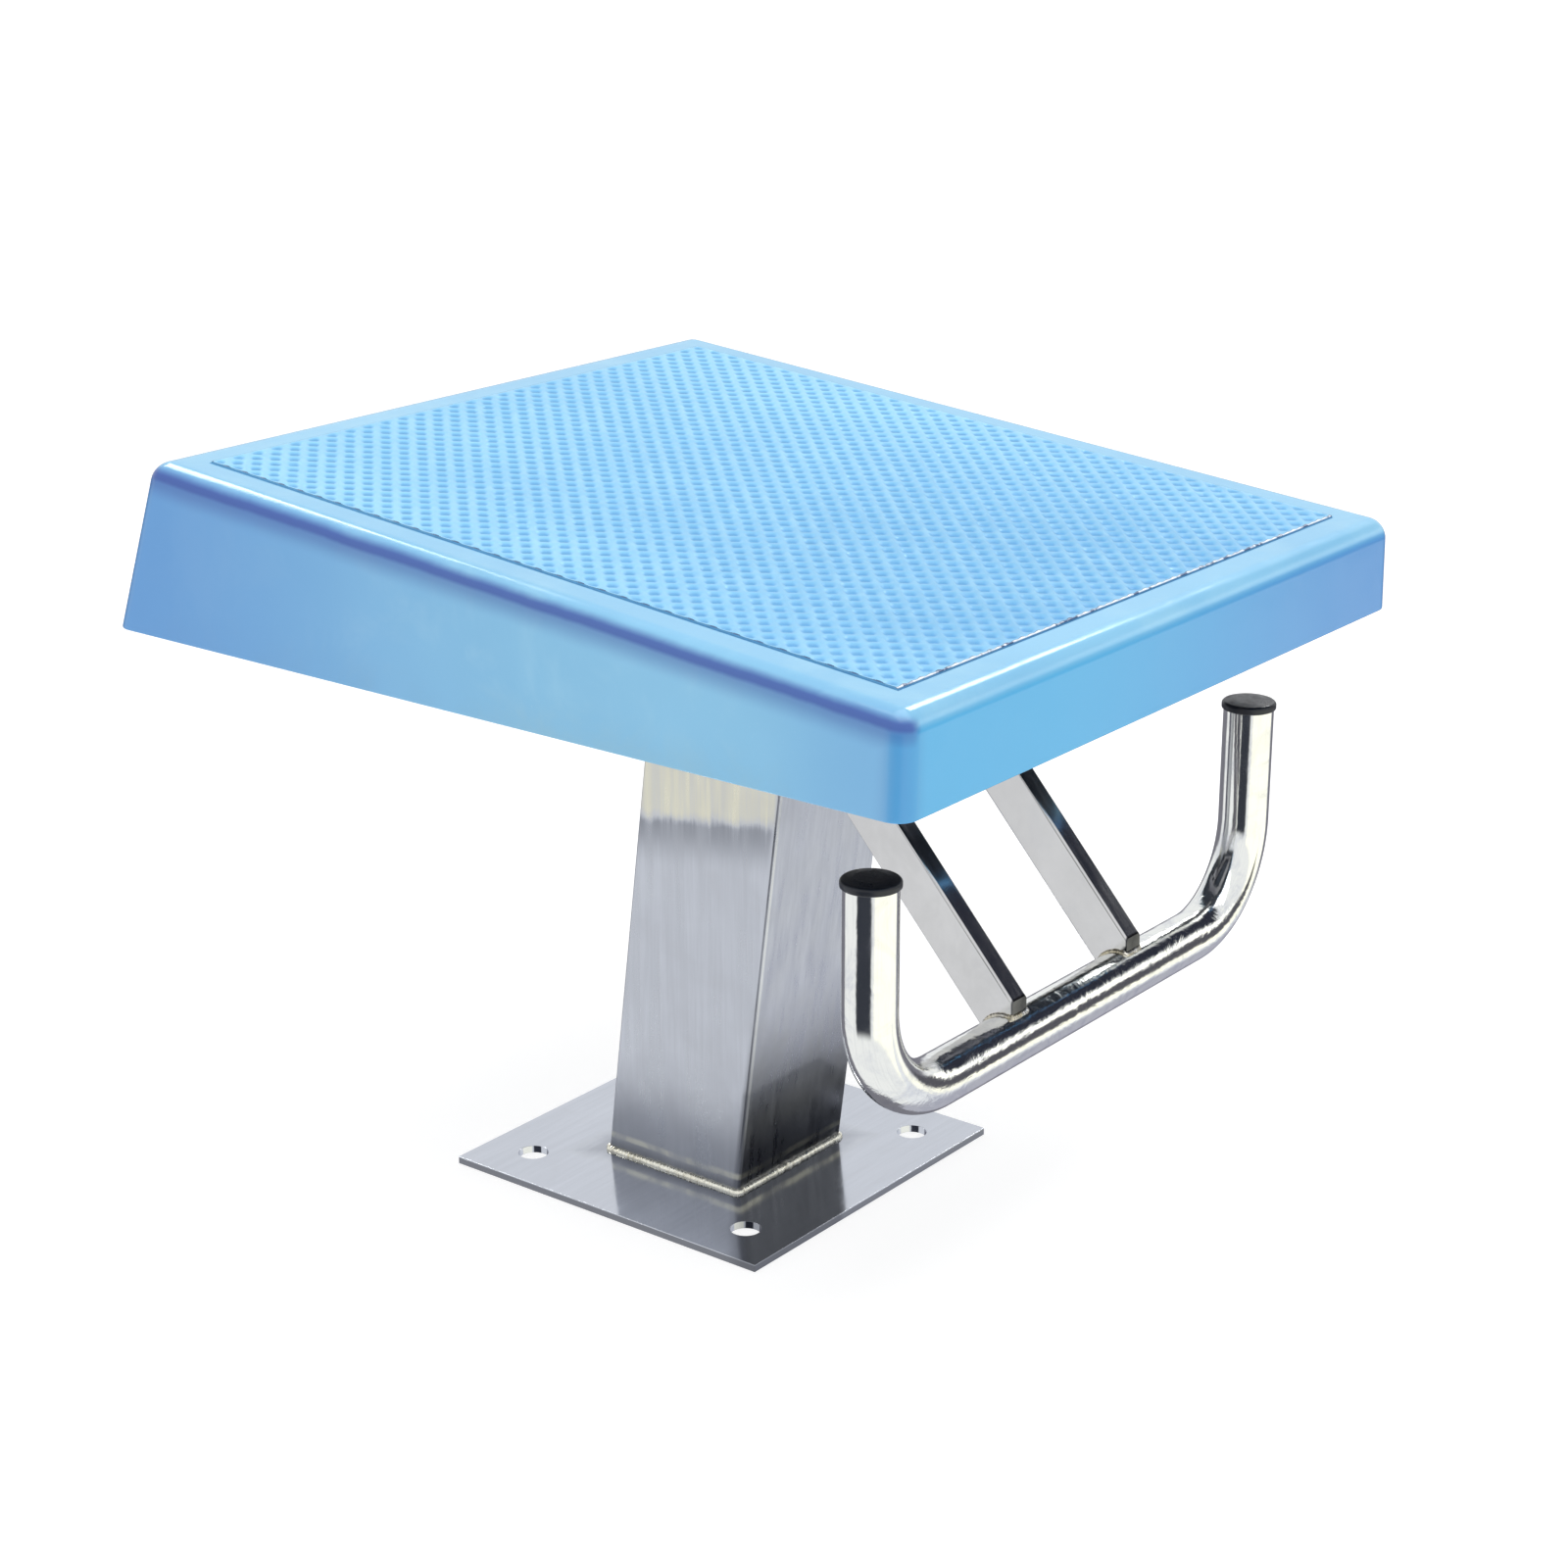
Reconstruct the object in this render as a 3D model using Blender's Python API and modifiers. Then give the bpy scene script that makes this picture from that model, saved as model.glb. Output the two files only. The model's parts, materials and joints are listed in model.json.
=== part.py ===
"""Swimming-pool starting block with a backstroke grip.

Metres, +Z up. The origin is the centre of the base plate's underside, -Y is the water side and X = 0 is the
plane of symmetry. The deck frame is an empty in the middle of the platform's sloping top face, with its own
Y running up the slope and its own Z square to the top face.
"""

import math

import bmesh
import bpy
from mathutils import Matrix, Vector

GAP = 0.0003  # kept between pieces that touch

# Base plate and post
BASE_SIDE = 0.250
BASE_THICKNESS = 0.005
BASE_EDGE = 0.0006
ANCHOR_HOLE_RADIUS = 0.010
ANCHOR_HOLE_INSET = 0.035
POST_SIDE = 0.110
POST_WALL = 0.003
POST_EDGE_RADIUS = 0.0025
POST_LEAN = math.radians(7.24)

# Platform: the top face passes DECK_HEIGHT above the origin and falls towards the water
DECK_HEIGHT = 0.463
DECK_SLOPE = math.radians(5.2)
DECK_FRONT = 0.331
DECK_REAR = 0.234
SKIRT_DROP = 0.088
SKIRT_WIDTH = 0.525
SIDE_DRAFT = math.radians(2.2)
REAR_RAKE = math.radians(18.0)
SHELL_WALL = 0.005
SHELL_EDGE_RADIUS = 0.012

# Anti-slip panel
PANEL_BORDER = 0.027
PANEL_THICKNESS = 0.003
PANEL_PROUD = 0.0015

# Sub-frame under the shell
RAIL_WIDTH = 0.040
RAIL_HEIGHT = 0.020
RAIL_WALL = 0.002
RAIL_OFFSET = 0.065
FRAME_END_INSET = 0.042
HEAD_PLATE_THICKNESS = 0.008
HEAD_PLATE_EDGE = 0.022

# Shell fixings
BOSS_RADIUS = 0.017
BOSS_HEIGHT = 0.010
INSERT_RADIUS = 0.0065
INSERT_LENGTH = 0.009
SHELL_BOLT_INSET = 0.050

# Bolts, nuts and washers
BOLT_RADIUS = 0.004
BOLT_CLEARANCE = 0.0005
BOLT_HEAD_FLATS = 0.013
BOLT_HEAD_HEIGHT = 0.0053
NUT_HEIGHT = 0.0065
WASHER_RADIUS = 0.008
WASHER_THICKNESS = 0.0016
BOLT_TAIL = 0.003
HEAD_BOLT_OFFSET = 0.030
HEAD_BOLT_PITCH = 0.120

# Backstroke grip and its struts
TUBE_RADIUS = 0.016
TUBE_WALL = 0.0015
GRIP_WIDTH = 0.406
GRIP_BAR_HEIGHT = 0.174
GRIP_BEND_RADIUS = 0.064
GRIP_TOP = 0.3105
GRIP_SETBACK = 0.0634
CAP_OVERHANG = 0.0013
CAP_RIM = 0.0048
CAP_DOME = 0.0010
CAP_PLUG = 0.018
STRUT_DEPTH = 0.030
STRUT_WIDTH = 0.015
STRUT_WALL = 0.0015
STRUT_EDGE_RADIUS = 0.0015
STRUT_RISE = 0.0083
STRUT_LEAD = 0.021
STRUT_TRIM = 0.005

# Facets
TUBE_SIDES = 16
HOLE_SIDES = 24
BOLT_SIDES = 12
BEND_STEPS = 8
CUT = 0.010  # how far a cutter reaches past the surface it opens

# Heights in the deck frame, from the top face down
SKIN_UNDERSIDE = -SHELL_WALL
BOSS_FACE = SKIN_UNDERSIDE - BOSS_HEIGHT
RAIL_TOP = BOSS_FACE - GAP
RAIL_BOTTOM = RAIL_TOP - RAIL_HEIGHT
HEAD_PLATE_TOP = RAIL_BOTTOM - GAP
HEAD_PLATE_BOTTOM = HEAD_PLATE_TOP - HEAD_PLATE_THICKNESS
POST_TOP = HEAD_PLATE_BOTTOM - GAP

BOLT_HOLE_RADIUS = BOLT_RADIUS + BOLT_CLEARANCE
SKIRT_BOTTOM = DECK_HEIGHT - SKIRT_DROP
GRIP_Y = GRIP_SETBACK - DECK_FRONT

FINISHES = {
    "brushed_steel": ((0.55, 0.55, 0.58), 0.32, 1.0),
    "polished_steel": ((0.72, 0.72, 0.74), 0.12, 1.0),
    "blue_gelcoat": ((0.20, 0.52, 0.85), 0.18, 0.0),
    "blue_anti_slip": ((0.26, 0.60, 0.88), 0.45, 0.0),
    "black_plastic": ((0.02, 0.025, 0.035), 0.35, 0.0),
    "zinc_steel": ((0.62, 0.62, 0.64), 0.38, 1.0),
    "brass": ((0.72, 0.55, 0.28), 0.35, 1.0),
}


# ---------------------------------------------------------------- scene and meshes


def empty_scene():
    for obj in list(bpy.data.objects):
        bpy.data.objects.remove(obj)


def new_collection(name):
    collection = bpy.data.collections.new(name)
    bpy.context.scene.collection.children.link(collection)
    return collection


empty_scene()
PARTS = new_collection("starting_block")
CUTTERS = new_collection("cutters")


def mesh_from(bm, name):
    mesh = bpy.data.meshes.new(name)
    bm.to_mesh(mesh)
    bm.free()
    return mesh


def box_mesh(name, size):
    """A box of the given size, centred on its origin."""
    bm = bmesh.new()
    bmesh.ops.create_cube(bm, size=1)
    bmesh.ops.scale(bm, vec=size, verts=bm.verts)
    return mesh_from(bm, name)


def cage_mesh(name, corner, open_bottom=False):
    """A cube whose corners go where corner(x, y, z) puts them, with each of x, y and z -1 or 1."""
    bm = bmesh.new()
    bmesh.ops.create_cube(bm, size=2)
    if open_bottom:
        bottom = [face for face in bm.faces if face.normal.z < -0.5]
        bmesh.ops.delete(bm, geom=bottom, context="FACES_ONLY")
    for vertex in bm.verts:
        vertex.co = corner(*(round(value) for value in vertex.co))
    return mesh_from(bm, name)


def prism_mesh(name, radius, height, sides):
    """An upright prism with its corners at the given radius, centred on its origin."""
    bm = bmesh.new()
    bmesh.ops.create_cone(
        bm, cap_ends=True, segments=sides, radius1=radius, radius2=radius, depth=height
    )
    return mesh_from(bm, name)


def tube_mesh(name, points, radius):
    """A solid round bar along the points, as a mesh."""
    curve = bpy.data.curves.new(name, "CURVE")
    curve.dimensions = "3D"
    curve.bevel_depth = radius
    curve.bevel_resolution = (TUBE_SIDES - 4) // 2
    curve.use_fill_caps = True
    spline = curve.splines.new("POLY")
    spline.points.add(len(points) - 1)
    for point, place in zip(spline.points, points):
        point.co = (*place, 1)
    bar = bpy.data.objects.new(name, curve)
    CUTTERS.objects.link(bar)
    graph = bpy.context.evaluated_depsgraph_get()
    mesh = bpy.data.meshes.new_from_object(bar.evaluated_get(graph))
    bpy.data.objects.remove(bar)
    bm = bmesh.new()
    bm.from_mesh(mesh)
    bmesh.ops.remove_doubles(bm, verts=bm.verts, dist=0.00001)
    bmesh.ops.recalc_face_normals(bm, faces=bm.faces)
    bm.to_mesh(mesh)
    bm.free()
    return mesh


def add_part(name, mesh, finish, place=Matrix(), parent=None):
    part = bpy.data.objects.new(name, mesh)
    part.parent = parent
    part.matrix_local = place
    colour, roughness, metallic = FINISHES[finish]
    material = bpy.data.materials.new(name + "_" + finish)
    material.use_nodes = True
    shader = material.node_tree.nodes["Principled BSDF"]
    shader.inputs["Base Color"].default_value = (*colour, 1)
    shader.inputs["Roughness"].default_value = roughness
    shader.inputs["Metallic"].default_value = metallic
    if not mesh.materials:
        mesh.materials.append(None)
    part.material_slots[0].link = "OBJECT"
    part.material_slots[0].material = material
    PARTS.objects.link(part)
    return part


def add_cutter(name, mesh, place=Matrix(), parent=None):
    cutter = bpy.data.objects.new(name, mesh)
    cutter.parent = parent
    cutter.matrix_local = place
    cutter.hide_render = True
    cutter.display_type = "WIRE"
    CUTTERS.objects.link(cutter)
    return cutter


def add_frame(name, place):
    frame = bpy.data.objects.new(name, None)
    frame.matrix_local = place
    PARTS.objects.link(frame)
    return frame


def boolean(part, other, operation):
    modifier = part.modifiers.new(operation.lower() + "_" + other.name, "BOOLEAN")
    modifier.operation = operation
    modifier.solver = "EXACT"
    modifier.object = other


def round_edges(part, radius, segments):
    bevel = part.modifiers.new("edges", "BEVEL")
    bevel.width = radius
    bevel.segments = segments
    bevel.limit_method = "ANGLE"
    bevel.angle_limit = math.radians(40)


def turned_part(name, profile, sides, finish, place=Matrix(), parent=None, closed=False):
    """A body of revolution about Z from (radius, height) points that run down its outer side."""
    bm = bmesh.new()
    points = [bm.verts.new((radius, 0, height)) for radius, height in profile]
    for first, second in zip(points, points[1:]):
        bm.edges.new((first, second))
    if closed:
        bm.edges.new((points[-1], points[0]))
    part = add_part(name, mesh_from(bm, name), finish, place, parent)
    screw = part.modifiers.new("turn", "SCREW")
    screw.steps = sides
    screw.render_steps = sides
    screw.use_merge_vertices = True
    screw.merge_threshold = 0.00001
    screw.use_smooth_shade = True
    return part


def ring_profile(outer, inner, low, high):
    return [(outer, high), (outer, low), (inner, low), (inner, high)]


def at(x, y, z):
    return Matrix.Translation((x, y, z))


# ---------------------------------------------------------------- places


def post_height(top, offset=0.0):
    """World height at which the post's line, moved by offset along Y, meets height top of the deck frame."""
    plane = DECK_HEIGHT + (top + offset * math.sin(DECK_SLOPE)) / math.cos(DECK_SLOPE)
    return plane / (1 + math.tan(DECK_SLOPE) * math.tan(POST_LEAN))


def post_y(height, offset=0.0):
    return offset - height * math.tan(POST_LEAN)


def head_centre():
    """Where the post's axis meets the head plate's underside, along the deck frame's Y."""
    height = post_height(HEAD_PLATE_BOTTOM)
    along = post_y(height) * math.cos(DECK_SLOPE)
    return along + (height - DECK_HEIGHT) * math.sin(DECK_SLOPE)


def skirt_half_width(height):
    return SKIRT_WIDTH / 2 - (height - SKIRT_BOTTOM) * math.tan(SIDE_DRAFT)


def deck_top(y):
    return DECK_HEIGHT + y * math.tan(DECK_SLOPE)


def head_bolt_x():
    return POST_SIDE / 2 + HEAD_BOLT_OFFSET


def rail_x():
    """The rails run outside the head bolts."""
    return head_bolt_x() + RAIL_OFFSET


def rail_ends():
    """The sub-frame's front and rear ends along the deck frame's Y."""
    front = -DECK_FRONT / math.cos(DECK_SLOPE) + FRAME_END_INSET
    rear = DECK_REAR / math.cos(DECK_SLOPE) - FRAME_END_INSET
    return front, rear


def head_bolt_places():
    along = HEAD_BOLT_PITCH / 2
    centre = head_centre()
    return [(x, centre + y) for y in (-along, along) for x in (-head_bolt_x(), head_bolt_x())]


def shell_bolt_places():
    front, rear = rail_ends()
    rows = (front + SHELL_BOLT_INSET, (front + rear) / 2, rear - SHELL_BOLT_INSET)
    return [(x, y) for y in rows for x in (-rail_x(), rail_x())]


# ---------------------------------------------------------------- base and post


def make_base_plate():
    plate = add_part(
        "base_plate",
        box_mesh("base_plate", (BASE_SIDE, BASE_SIDE, BASE_THICKNESS)),
        "brushed_steel",
        at(0, 0, BASE_THICKNESS / 2),
    )
    round_edges(plate, BASE_EDGE, 1)
    hole = prism_mesh("anchor_hole", ANCHOR_HOLE_RADIUS, BASE_THICKNESS + 2 * CUT, HOLE_SIDES)
    reach = BASE_SIDE / 2 - ANCHOR_HOLE_INSET
    for x in (-reach, reach):
        for y in (-reach, reach):
            boolean(plate, add_cutter("anchor_hole", hole, at(x, y, 0)), "DIFFERENCE")


def post_cage(name, half, low, top):
    """The leaning box between world height low and height top of the deck frame."""

    def corner(x, y, z):
        height = post_height(top, y * half) if z > 0 else low
        return Vector((x * half, post_y(height, y * half), height))

    return cage_mesh(name, corner)


def make_post():
    foot = BASE_THICKNESS + GAP
    outer = post_cage("post", POST_SIDE / 2, foot, POST_TOP)
    inner = post_cage("post_hollow", POST_SIDE / 2 - POST_WALL, foot - CUT, POST_TOP + CUT)
    post = add_part("post", outer, "brushed_steel")
    round_upright_edges(post, POST_EDGE_RADIUS)
    boolean(post, add_cutter("post_hollow", inner), "DIFFERENCE")


def round_upright_edges(part, radius):
    """Rounds the four long edges of a tube and leaves its ends square."""
    weights = part.data.attributes.new("bevel_weight_edge", "FLOAT", "EDGE")
    for edge in part.data.edges:
        first, second = (part.data.vertices[index].co for index in edge.vertices)
        along = (second - first).normalized()
        weights.data[edge.index].value = 1.0 if abs(along.z) > 0.9 else 0.0
    bevel = part.modifiers.new("edges", "BEVEL")
    bevel.width = radius
    bevel.segments = 2
    bevel.limit_method = "WEIGHT"


def make_head_plate(deck):
    width = 2 * (head_bolt_x() + HEAD_PLATE_EDGE)
    length = HEAD_BOLT_PITCH + 2 * HEAD_PLATE_EDGE
    plate = add_part(
        "head_plate",
        box_mesh("head_plate", (width, length, HEAD_PLATE_THICKNESS)),
        "brushed_steel",
        at(0, head_centre(), HEAD_PLATE_TOP - HEAD_PLATE_THICKNESS / 2),
        deck,
    )
    drill(plate, head_bolt_places(), HEAD_PLATE_TOP, deck)


def drill(part, places, height, deck):
    """Bolt holes square to the deck at the places, through whatever lies near that height."""
    depth = RAIL_HEIGHT + 2 * CUT
    hole = prism_mesh("bolt_hole", BOLT_HOLE_RADIUS, 2 * depth, BOLT_SIDES)
    for x, y in places:
        boolean(part, add_cutter("bolt_hole", hole, at(x, y, height), deck), "DIFFERENCE")


# ---------------------------------------------------------------- sub-frame


def rectangular_tube(name, size, wall, long_axis, place, deck):
    """A box tube of the outer size, open at both ends of its long axis."""
    part = add_part(name, box_mesh(name, size), "brushed_steel", place, deck)
    hollow = [value - 2 * wall for value in size]
    hollow[long_axis] = size[long_axis] + 2 * CUT
    inner = box_mesh(name + "_hollow", hollow)
    boolean(part, add_cutter(name + "_hollow", inner, place, deck), "DIFFERENCE")
    return part


def make_rails(deck):
    front, rear = rail_ends()
    size = (RAIL_WIDTH, rear - front, RAIL_HEIGHT)
    height = RAIL_TOP - RAIL_HEIGHT / 2
    for side, x in (("left", -rail_x()), ("right", rail_x())):
        place = at(x, (front + rear) / 2, height)
        rail = rectangular_tube("frame_rail_" + side, size, RAIL_WALL, 1, place, deck)
        holes = [(hole_x, y) for hole_x, y in shell_bolt_places() if hole_x * x > 0]
        drill(rail, holes, height, deck)


def make_cross_members(deck):
    front, rear = rail_ends()
    along = HEAD_BOLT_PITCH / 2
    rows = {
        "front": front + RAIL_WIDTH / 2,
        "mid_front": head_centre() - along,
        "mid_rear": head_centre() + along,
        "rear": rear - RAIL_WIDTH / 2,
    }
    size = (2 * rail_x() - RAIL_WIDTH - 2 * GAP, RAIL_WIDTH, RAIL_HEIGHT)
    height = RAIL_TOP - RAIL_HEIGHT / 2
    for row, y in rows.items():
        name = "frame_cross_" + row
        member = rectangular_tube(name, size, RAIL_WALL, 0, at(0, y, height), deck)
        holes = [place for place in head_bolt_places() if abs(place[1] - y) < BOLT_RADIUS]
        drill(member, holes, height, deck)


# ---------------------------------------------------------------- platform


def shell_corner(x, y, z):
    """Corners of the shell's outer form; its skirt reaches past the trim line."""
    top_y = DECK_REAR if y > 0 else -DECK_FRONT
    height = deck_top(top_y) if z > 0 else SKIRT_BOTTOM - CUT
    rake = (deck_top(DECK_REAR) - height) * math.tan(REAR_RAKE) if y > 0 else 0
    return Vector((x * skirt_half_width(height), top_y + rake, height))


def make_shell(deck):
    mesh = cage_mesh("platform_shell", shell_corner, open_bottom=True)
    shell = add_part("platform_shell", mesh, "blue_gelcoat")
    round_edges(shell, SHELL_EDGE_RADIUS, 4)
    wall = shell.modifiers.new("wall", "SOLIDIFY")
    wall.thickness = SHELL_WALL
    wall.offset = -1
    wall.use_even_offset = True
    reach = 2 * (DECK_FRONT + DECK_REAR)
    trim = box_mesh("skirt_trim", (reach, reach, 4 * CUT))
    boolean(shell, add_cutter("skirt_trim", trim, at(0, 0, SKIRT_BOTTOM - 2 * CUT)), "DIFFERENCE")
    root = SHELL_WALL / 2
    boss = prism_mesh("boss", BOSS_RADIUS, BOSS_HEIGHT + root, HOLE_SIDES)
    socket = prism_mesh("insert_socket", INSERT_RADIUS + GAP, 2 * INSERT_LENGTH, HOLE_SIDES)
    for x, y in shell_bolt_places():
        boss_place = at(x, y, BOSS_FACE + (BOSS_HEIGHT + root) / 2)
        boolean(shell, add_cutter("boss", boss, boss_place, deck), "UNION")
    for x, y in shell_bolt_places():
        socket_place = at(x, y, BOSS_FACE)
        boolean(shell, add_cutter("insert_socket", socket, socket_place, deck), "DIFFERENCE")
    make_recess(shell, deck)


def panel_extent():
    """The panel's half width, and its front and rear edges along the deck frame's Y."""
    half = skirt_half_width(deck_top(DECK_REAR)) - PANEL_BORDER
    front = -DECK_FRONT / math.cos(DECK_SLOPE) + PANEL_BORDER
    rear = DECK_REAR / math.cos(DECK_SLOPE) - PANEL_BORDER
    return half, front, rear


def make_recess(shell, deck):
    half, front, rear = panel_extent()
    floor = PANEL_PROUD - PANEL_THICKNESS - GAP
    size = (2 * (half + GAP), rear - front + 2 * GAP, CUT - floor)
    place = at(0, (front + rear) / 2, (CUT + floor) / 2)
    recess = add_cutter("panel_recess", box_mesh("panel_recess", size), place, deck)
    boolean(shell, recess, "DIFFERENCE")


def make_panel(deck):
    half, front, rear = panel_extent()
    mesh = box_mesh("anti_slip_panel", (2 * half, rear - front, PANEL_THICKNESS))
    place = at(0, (front + rear) / 2, PANEL_PROUD - PANEL_THICKNESS / 2)
    add_part("anti_slip_panel", mesh, "blue_anti_slip", place, deck)


# ---------------------------------------------------------------- fasteners


def bolt_mesh(name, length):
    """A hexagon-head bolt with its shank down -Z from the head's bearing face."""
    head = prism_mesh(name, BOLT_HEAD_FLATS / math.sqrt(3), BOLT_HEAD_HEIGHT, 6)
    body = add_cutter(name + "_head", head, at(0, 0, BOLT_HEAD_HEIGHT / 2))
    root = BOLT_HEAD_HEIGHT / 2
    shank = prism_mesh(name + "_shank", BOLT_RADIUS, length + root, BOLT_SIDES)
    other = add_cutter(name + "_shank", shank, at(0, 0, (root - length) / 2))
    boolean(body, other, "UNION")
    return baked_mesh(body, name)


def baked_mesh(body, name):
    """The mesh of a cutter object with its modifiers applied, in its parent's axes."""
    bpy.context.view_layer.update()
    graph = bpy.context.evaluated_depsgraph_get()
    mesh = bpy.data.meshes.new_from_object(body.evaluated_get(graph))
    mesh.transform(body.matrix_local)
    mesh.name = name
    return mesh


def nut_mesh(name):
    """A hexagon nut standing on its origin."""
    prism = prism_mesh(name, BOLT_HEAD_FLATS / math.sqrt(3), NUT_HEIGHT, 6)
    body = add_cutter(name + "_body", prism, at(0, 0, NUT_HEIGHT / 2))
    bore = prism_mesh(name + "_bore", BOLT_RADIUS + GAP, NUT_HEIGHT + 2 * CUT, BOLT_SIDES)
    boolean(body, add_cutter(name + "_bore", bore), "DIFFERENCE")
    return baked_mesh(body, name)


def add_washer(name, x, y, low, deck):
    profile = ring_profile(WASHER_RADIUS, BOLT_HOLE_RADIUS, low, low + WASHER_THICKNESS)
    turned_part(name, profile, BOLT_SIDES, "zinc_steel", at(x, y, 0), deck, closed=True)


def make_head_fasteners(deck):
    washer_top = RAIL_TOP + GAP
    bearing = washer_top + WASHER_THICKNESS + GAP
    washer_bottom = HEAD_PLATE_BOTTOM - GAP - WASHER_THICKNESS
    nut_bottom = washer_bottom - GAP - NUT_HEIGHT
    bolt = bolt_mesh("head_bolt", bearing - nut_bottom + BOLT_TAIL)
    nut = nut_mesh("head_nut")
    for number, (x, y) in enumerate(head_bolt_places(), 1):
        add_part(f"head_bolt_{number}", bolt, "zinc_steel", at(x, y, bearing), deck)
        add_washer(f"head_washer_top_{number}", x, y, washer_top, deck)
        add_washer(f"head_washer_bottom_{number}", x, y, washer_bottom, deck)
        add_part(f"head_nut_{number}", nut, "zinc_steel", at(x, y, nut_bottom), deck)


def make_shell_fasteners(deck):
    washer_low = RAIL_BOTTOM - GAP - WASHER_THICKNESS
    bearing = washer_low - GAP
    insert_top = BOSS_FACE + INSERT_LENGTH - GAP
    bolt = bolt_mesh("shell_bolt", insert_top - GAP - bearing)
    turn_over = Matrix.Rotation(math.pi, 4, "X")
    insert = ring_profile(INSERT_RADIUS, BOLT_RADIUS + GAP, BOSS_FACE, insert_top)
    for number, (x, y) in enumerate(shell_bolt_places(), 1):
        add_part(f"shell_bolt_{number}", bolt, "zinc_steel", at(x, y, bearing) @ turn_over, deck)
        add_washer(f"shell_washer_{number}", x, y, washer_low, deck)
        name = f"shell_insert_{number}"
        turned_part(name, insert, HOLE_SIDES, "brass", at(x, y, 0), deck, closed=True)


# ---------------------------------------------------------------- grip and struts


def grip_path(extra):
    """The U in the XZ plane, its ends raised by extra."""
    half = GRIP_WIDTH / 2
    centre_x = half - GRIP_BEND_RADIUS
    centre_z = GRIP_BAR_HEIGHT + GRIP_BEND_RADIUS
    right = [Vector((half, GRIP_Y, GRIP_TOP + extra))]
    for step in range(BEND_STEPS + 1):
        angle = math.radians(90) * step / BEND_STEPS
        x = centre_x + GRIP_BEND_RADIUS * math.cos(angle)
        z = centre_z - GRIP_BEND_RADIUS * math.sin(angle)
        right.append(Vector((x, GRIP_Y, z)))
    left = [Vector((-point.x, point.y, point.z)) for point in reversed(right)]
    return right + left


def make_grip():
    tube = add_part("handle_tube", tube_mesh("handle_tube", grip_path(0), TUBE_RADIUS), "polished_steel")
    bore = tube_mesh("handle_bore", grip_path(CUT), TUBE_RADIUS - TUBE_WALL)
    boolean(tube, add_cutter("handle_bore", bore), "DIFFERENCE")
    tube.data.shade_smooth()


def make_caps():
    """A thin domed head on the tube's end and a plug inside it."""
    head = TUBE_RADIUS + CAP_OVERHANG
    plug = (TUBE_RADIUS - TUBE_WALL) * math.cos(math.pi / TUBE_SIDES) - GAP
    profile = [
        (0, GAP + CAP_RIM + CAP_DOME),
        (head * 0.6, GAP + CAP_RIM + CAP_DOME * 0.75),
        (head * 0.93, GAP + CAP_RIM + CAP_DOME * 0.2),
        (head, GAP + CAP_RIM * 0.7),
        (head, GAP),
        (plug, GAP),
        (plug, -CAP_PLUG),
        (0, -CAP_PLUG),
    ]
    for side, x in (("left", -GRIP_WIDTH / 2), ("right", GRIP_WIDTH / 2)):
        place = at(x, GRIP_Y, GRIP_TOP)
        turned_part("handle_cap_" + side, profile, HOLE_SIDES, "black_plastic", place)


def strut_line():
    """The strut's lower point over the bar and its upper point at the head plate, in the YZ plane."""
    lower = Vector((0, GRIP_Y, GRIP_BAR_HEIGHT + STRUT_RISE))
    height = post_height(POST_TOP, -STRUT_LEAD)
    upper = Vector((0, post_y(height, -STRUT_LEAD), height))
    return lower, upper


def make_struts(deck):
    lower, upper = strut_line()
    run = upper - lower
    tilt = Matrix.Rotation(-math.atan2(run.y, run.z), 4, "X")
    length = run.length + 2 * STRUT_DEPTH
    middle = lower + run.normalized() * (length / 2 - STRUT_DEPTH / 2)
    reach = POST_SIDE / 2 + GAP + STRUT_WIDTH / 2
    hollow = (STRUT_WIDTH - 2 * STRUT_WALL, STRUT_DEPTH - 2 * STRUT_WALL, length + CUT)
    inner = box_mesh("strut_hollow", hollow)
    ends = [cope_cutter(), front_cutter(), head_cutter(deck)]
    for side, x in (("left", -reach), ("right", reach)):
        place = at(x, middle.y, middle.z) @ tilt
        mesh = box_mesh("strut_" + side, (STRUT_WIDTH, STRUT_DEPTH, length))
        strut = add_part("strut_" + side, mesh, "brushed_steel", place)
        round_upright_edges(strut, STRUT_EDGE_RADIUS)
        boolean(strut, add_cutter("strut_hollow_" + side, inner, place), "DIFFERENCE")
        for end in ends:
            boolean(strut, end, "DIFFERENCE")


def cope_cutter():
    """Clears the grip's bar, so that the struts sit on it."""
    radius = TUBE_RADIUS / math.cos(math.pi / HOLE_SIDES) + GAP
    mesh = prism_mesh("cope", radius, GRIP_WIDTH, HOLE_SIDES)
    place = at(0, GRIP_Y, GRIP_BAR_HEIGHT) @ Matrix.Rotation(math.pi / 2, 4, "Y")
    return add_cutter("cope", mesh, place)


def front_cutter():
    """Cuts the struts' lower ends upright, just in front of the bar's axis, and clear below the bar."""
    depth = 4 * STRUT_DEPTH
    mesh = box_mesh("strut_front_cut", (GRIP_WIDTH, depth, depth))
    return add_cutter("strut_front_cut", mesh, at(0, GRIP_Y - STRUT_TRIM - depth / 2, GRIP_BAR_HEIGHT))


def head_cutter(deck):
    """Ends the struts under the head plate."""
    depth = 4 * STRUT_DEPTH
    mesh = box_mesh("strut_head_cut", (GRIP_WIDTH, 3 * POST_SIDE, depth))
    return add_cutter("strut_head_cut", mesh, at(0, head_centre(), POST_TOP + depth / 2), deck)


def main():
    deck = add_frame("deck_frame", at(0, 0, DECK_HEIGHT) @ Matrix.Rotation(DECK_SLOPE, 4, "X"))
    make_base_plate()
    make_post()
    make_head_plate(deck)
    make_rails(deck)
    make_cross_members(deck)
    make_shell(deck)
    make_panel(deck)
    make_head_fasteners(deck)
    make_shell_fasteners(deck)
    make_grip()
    make_caps()
    make_struts(deck)


main()
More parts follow.
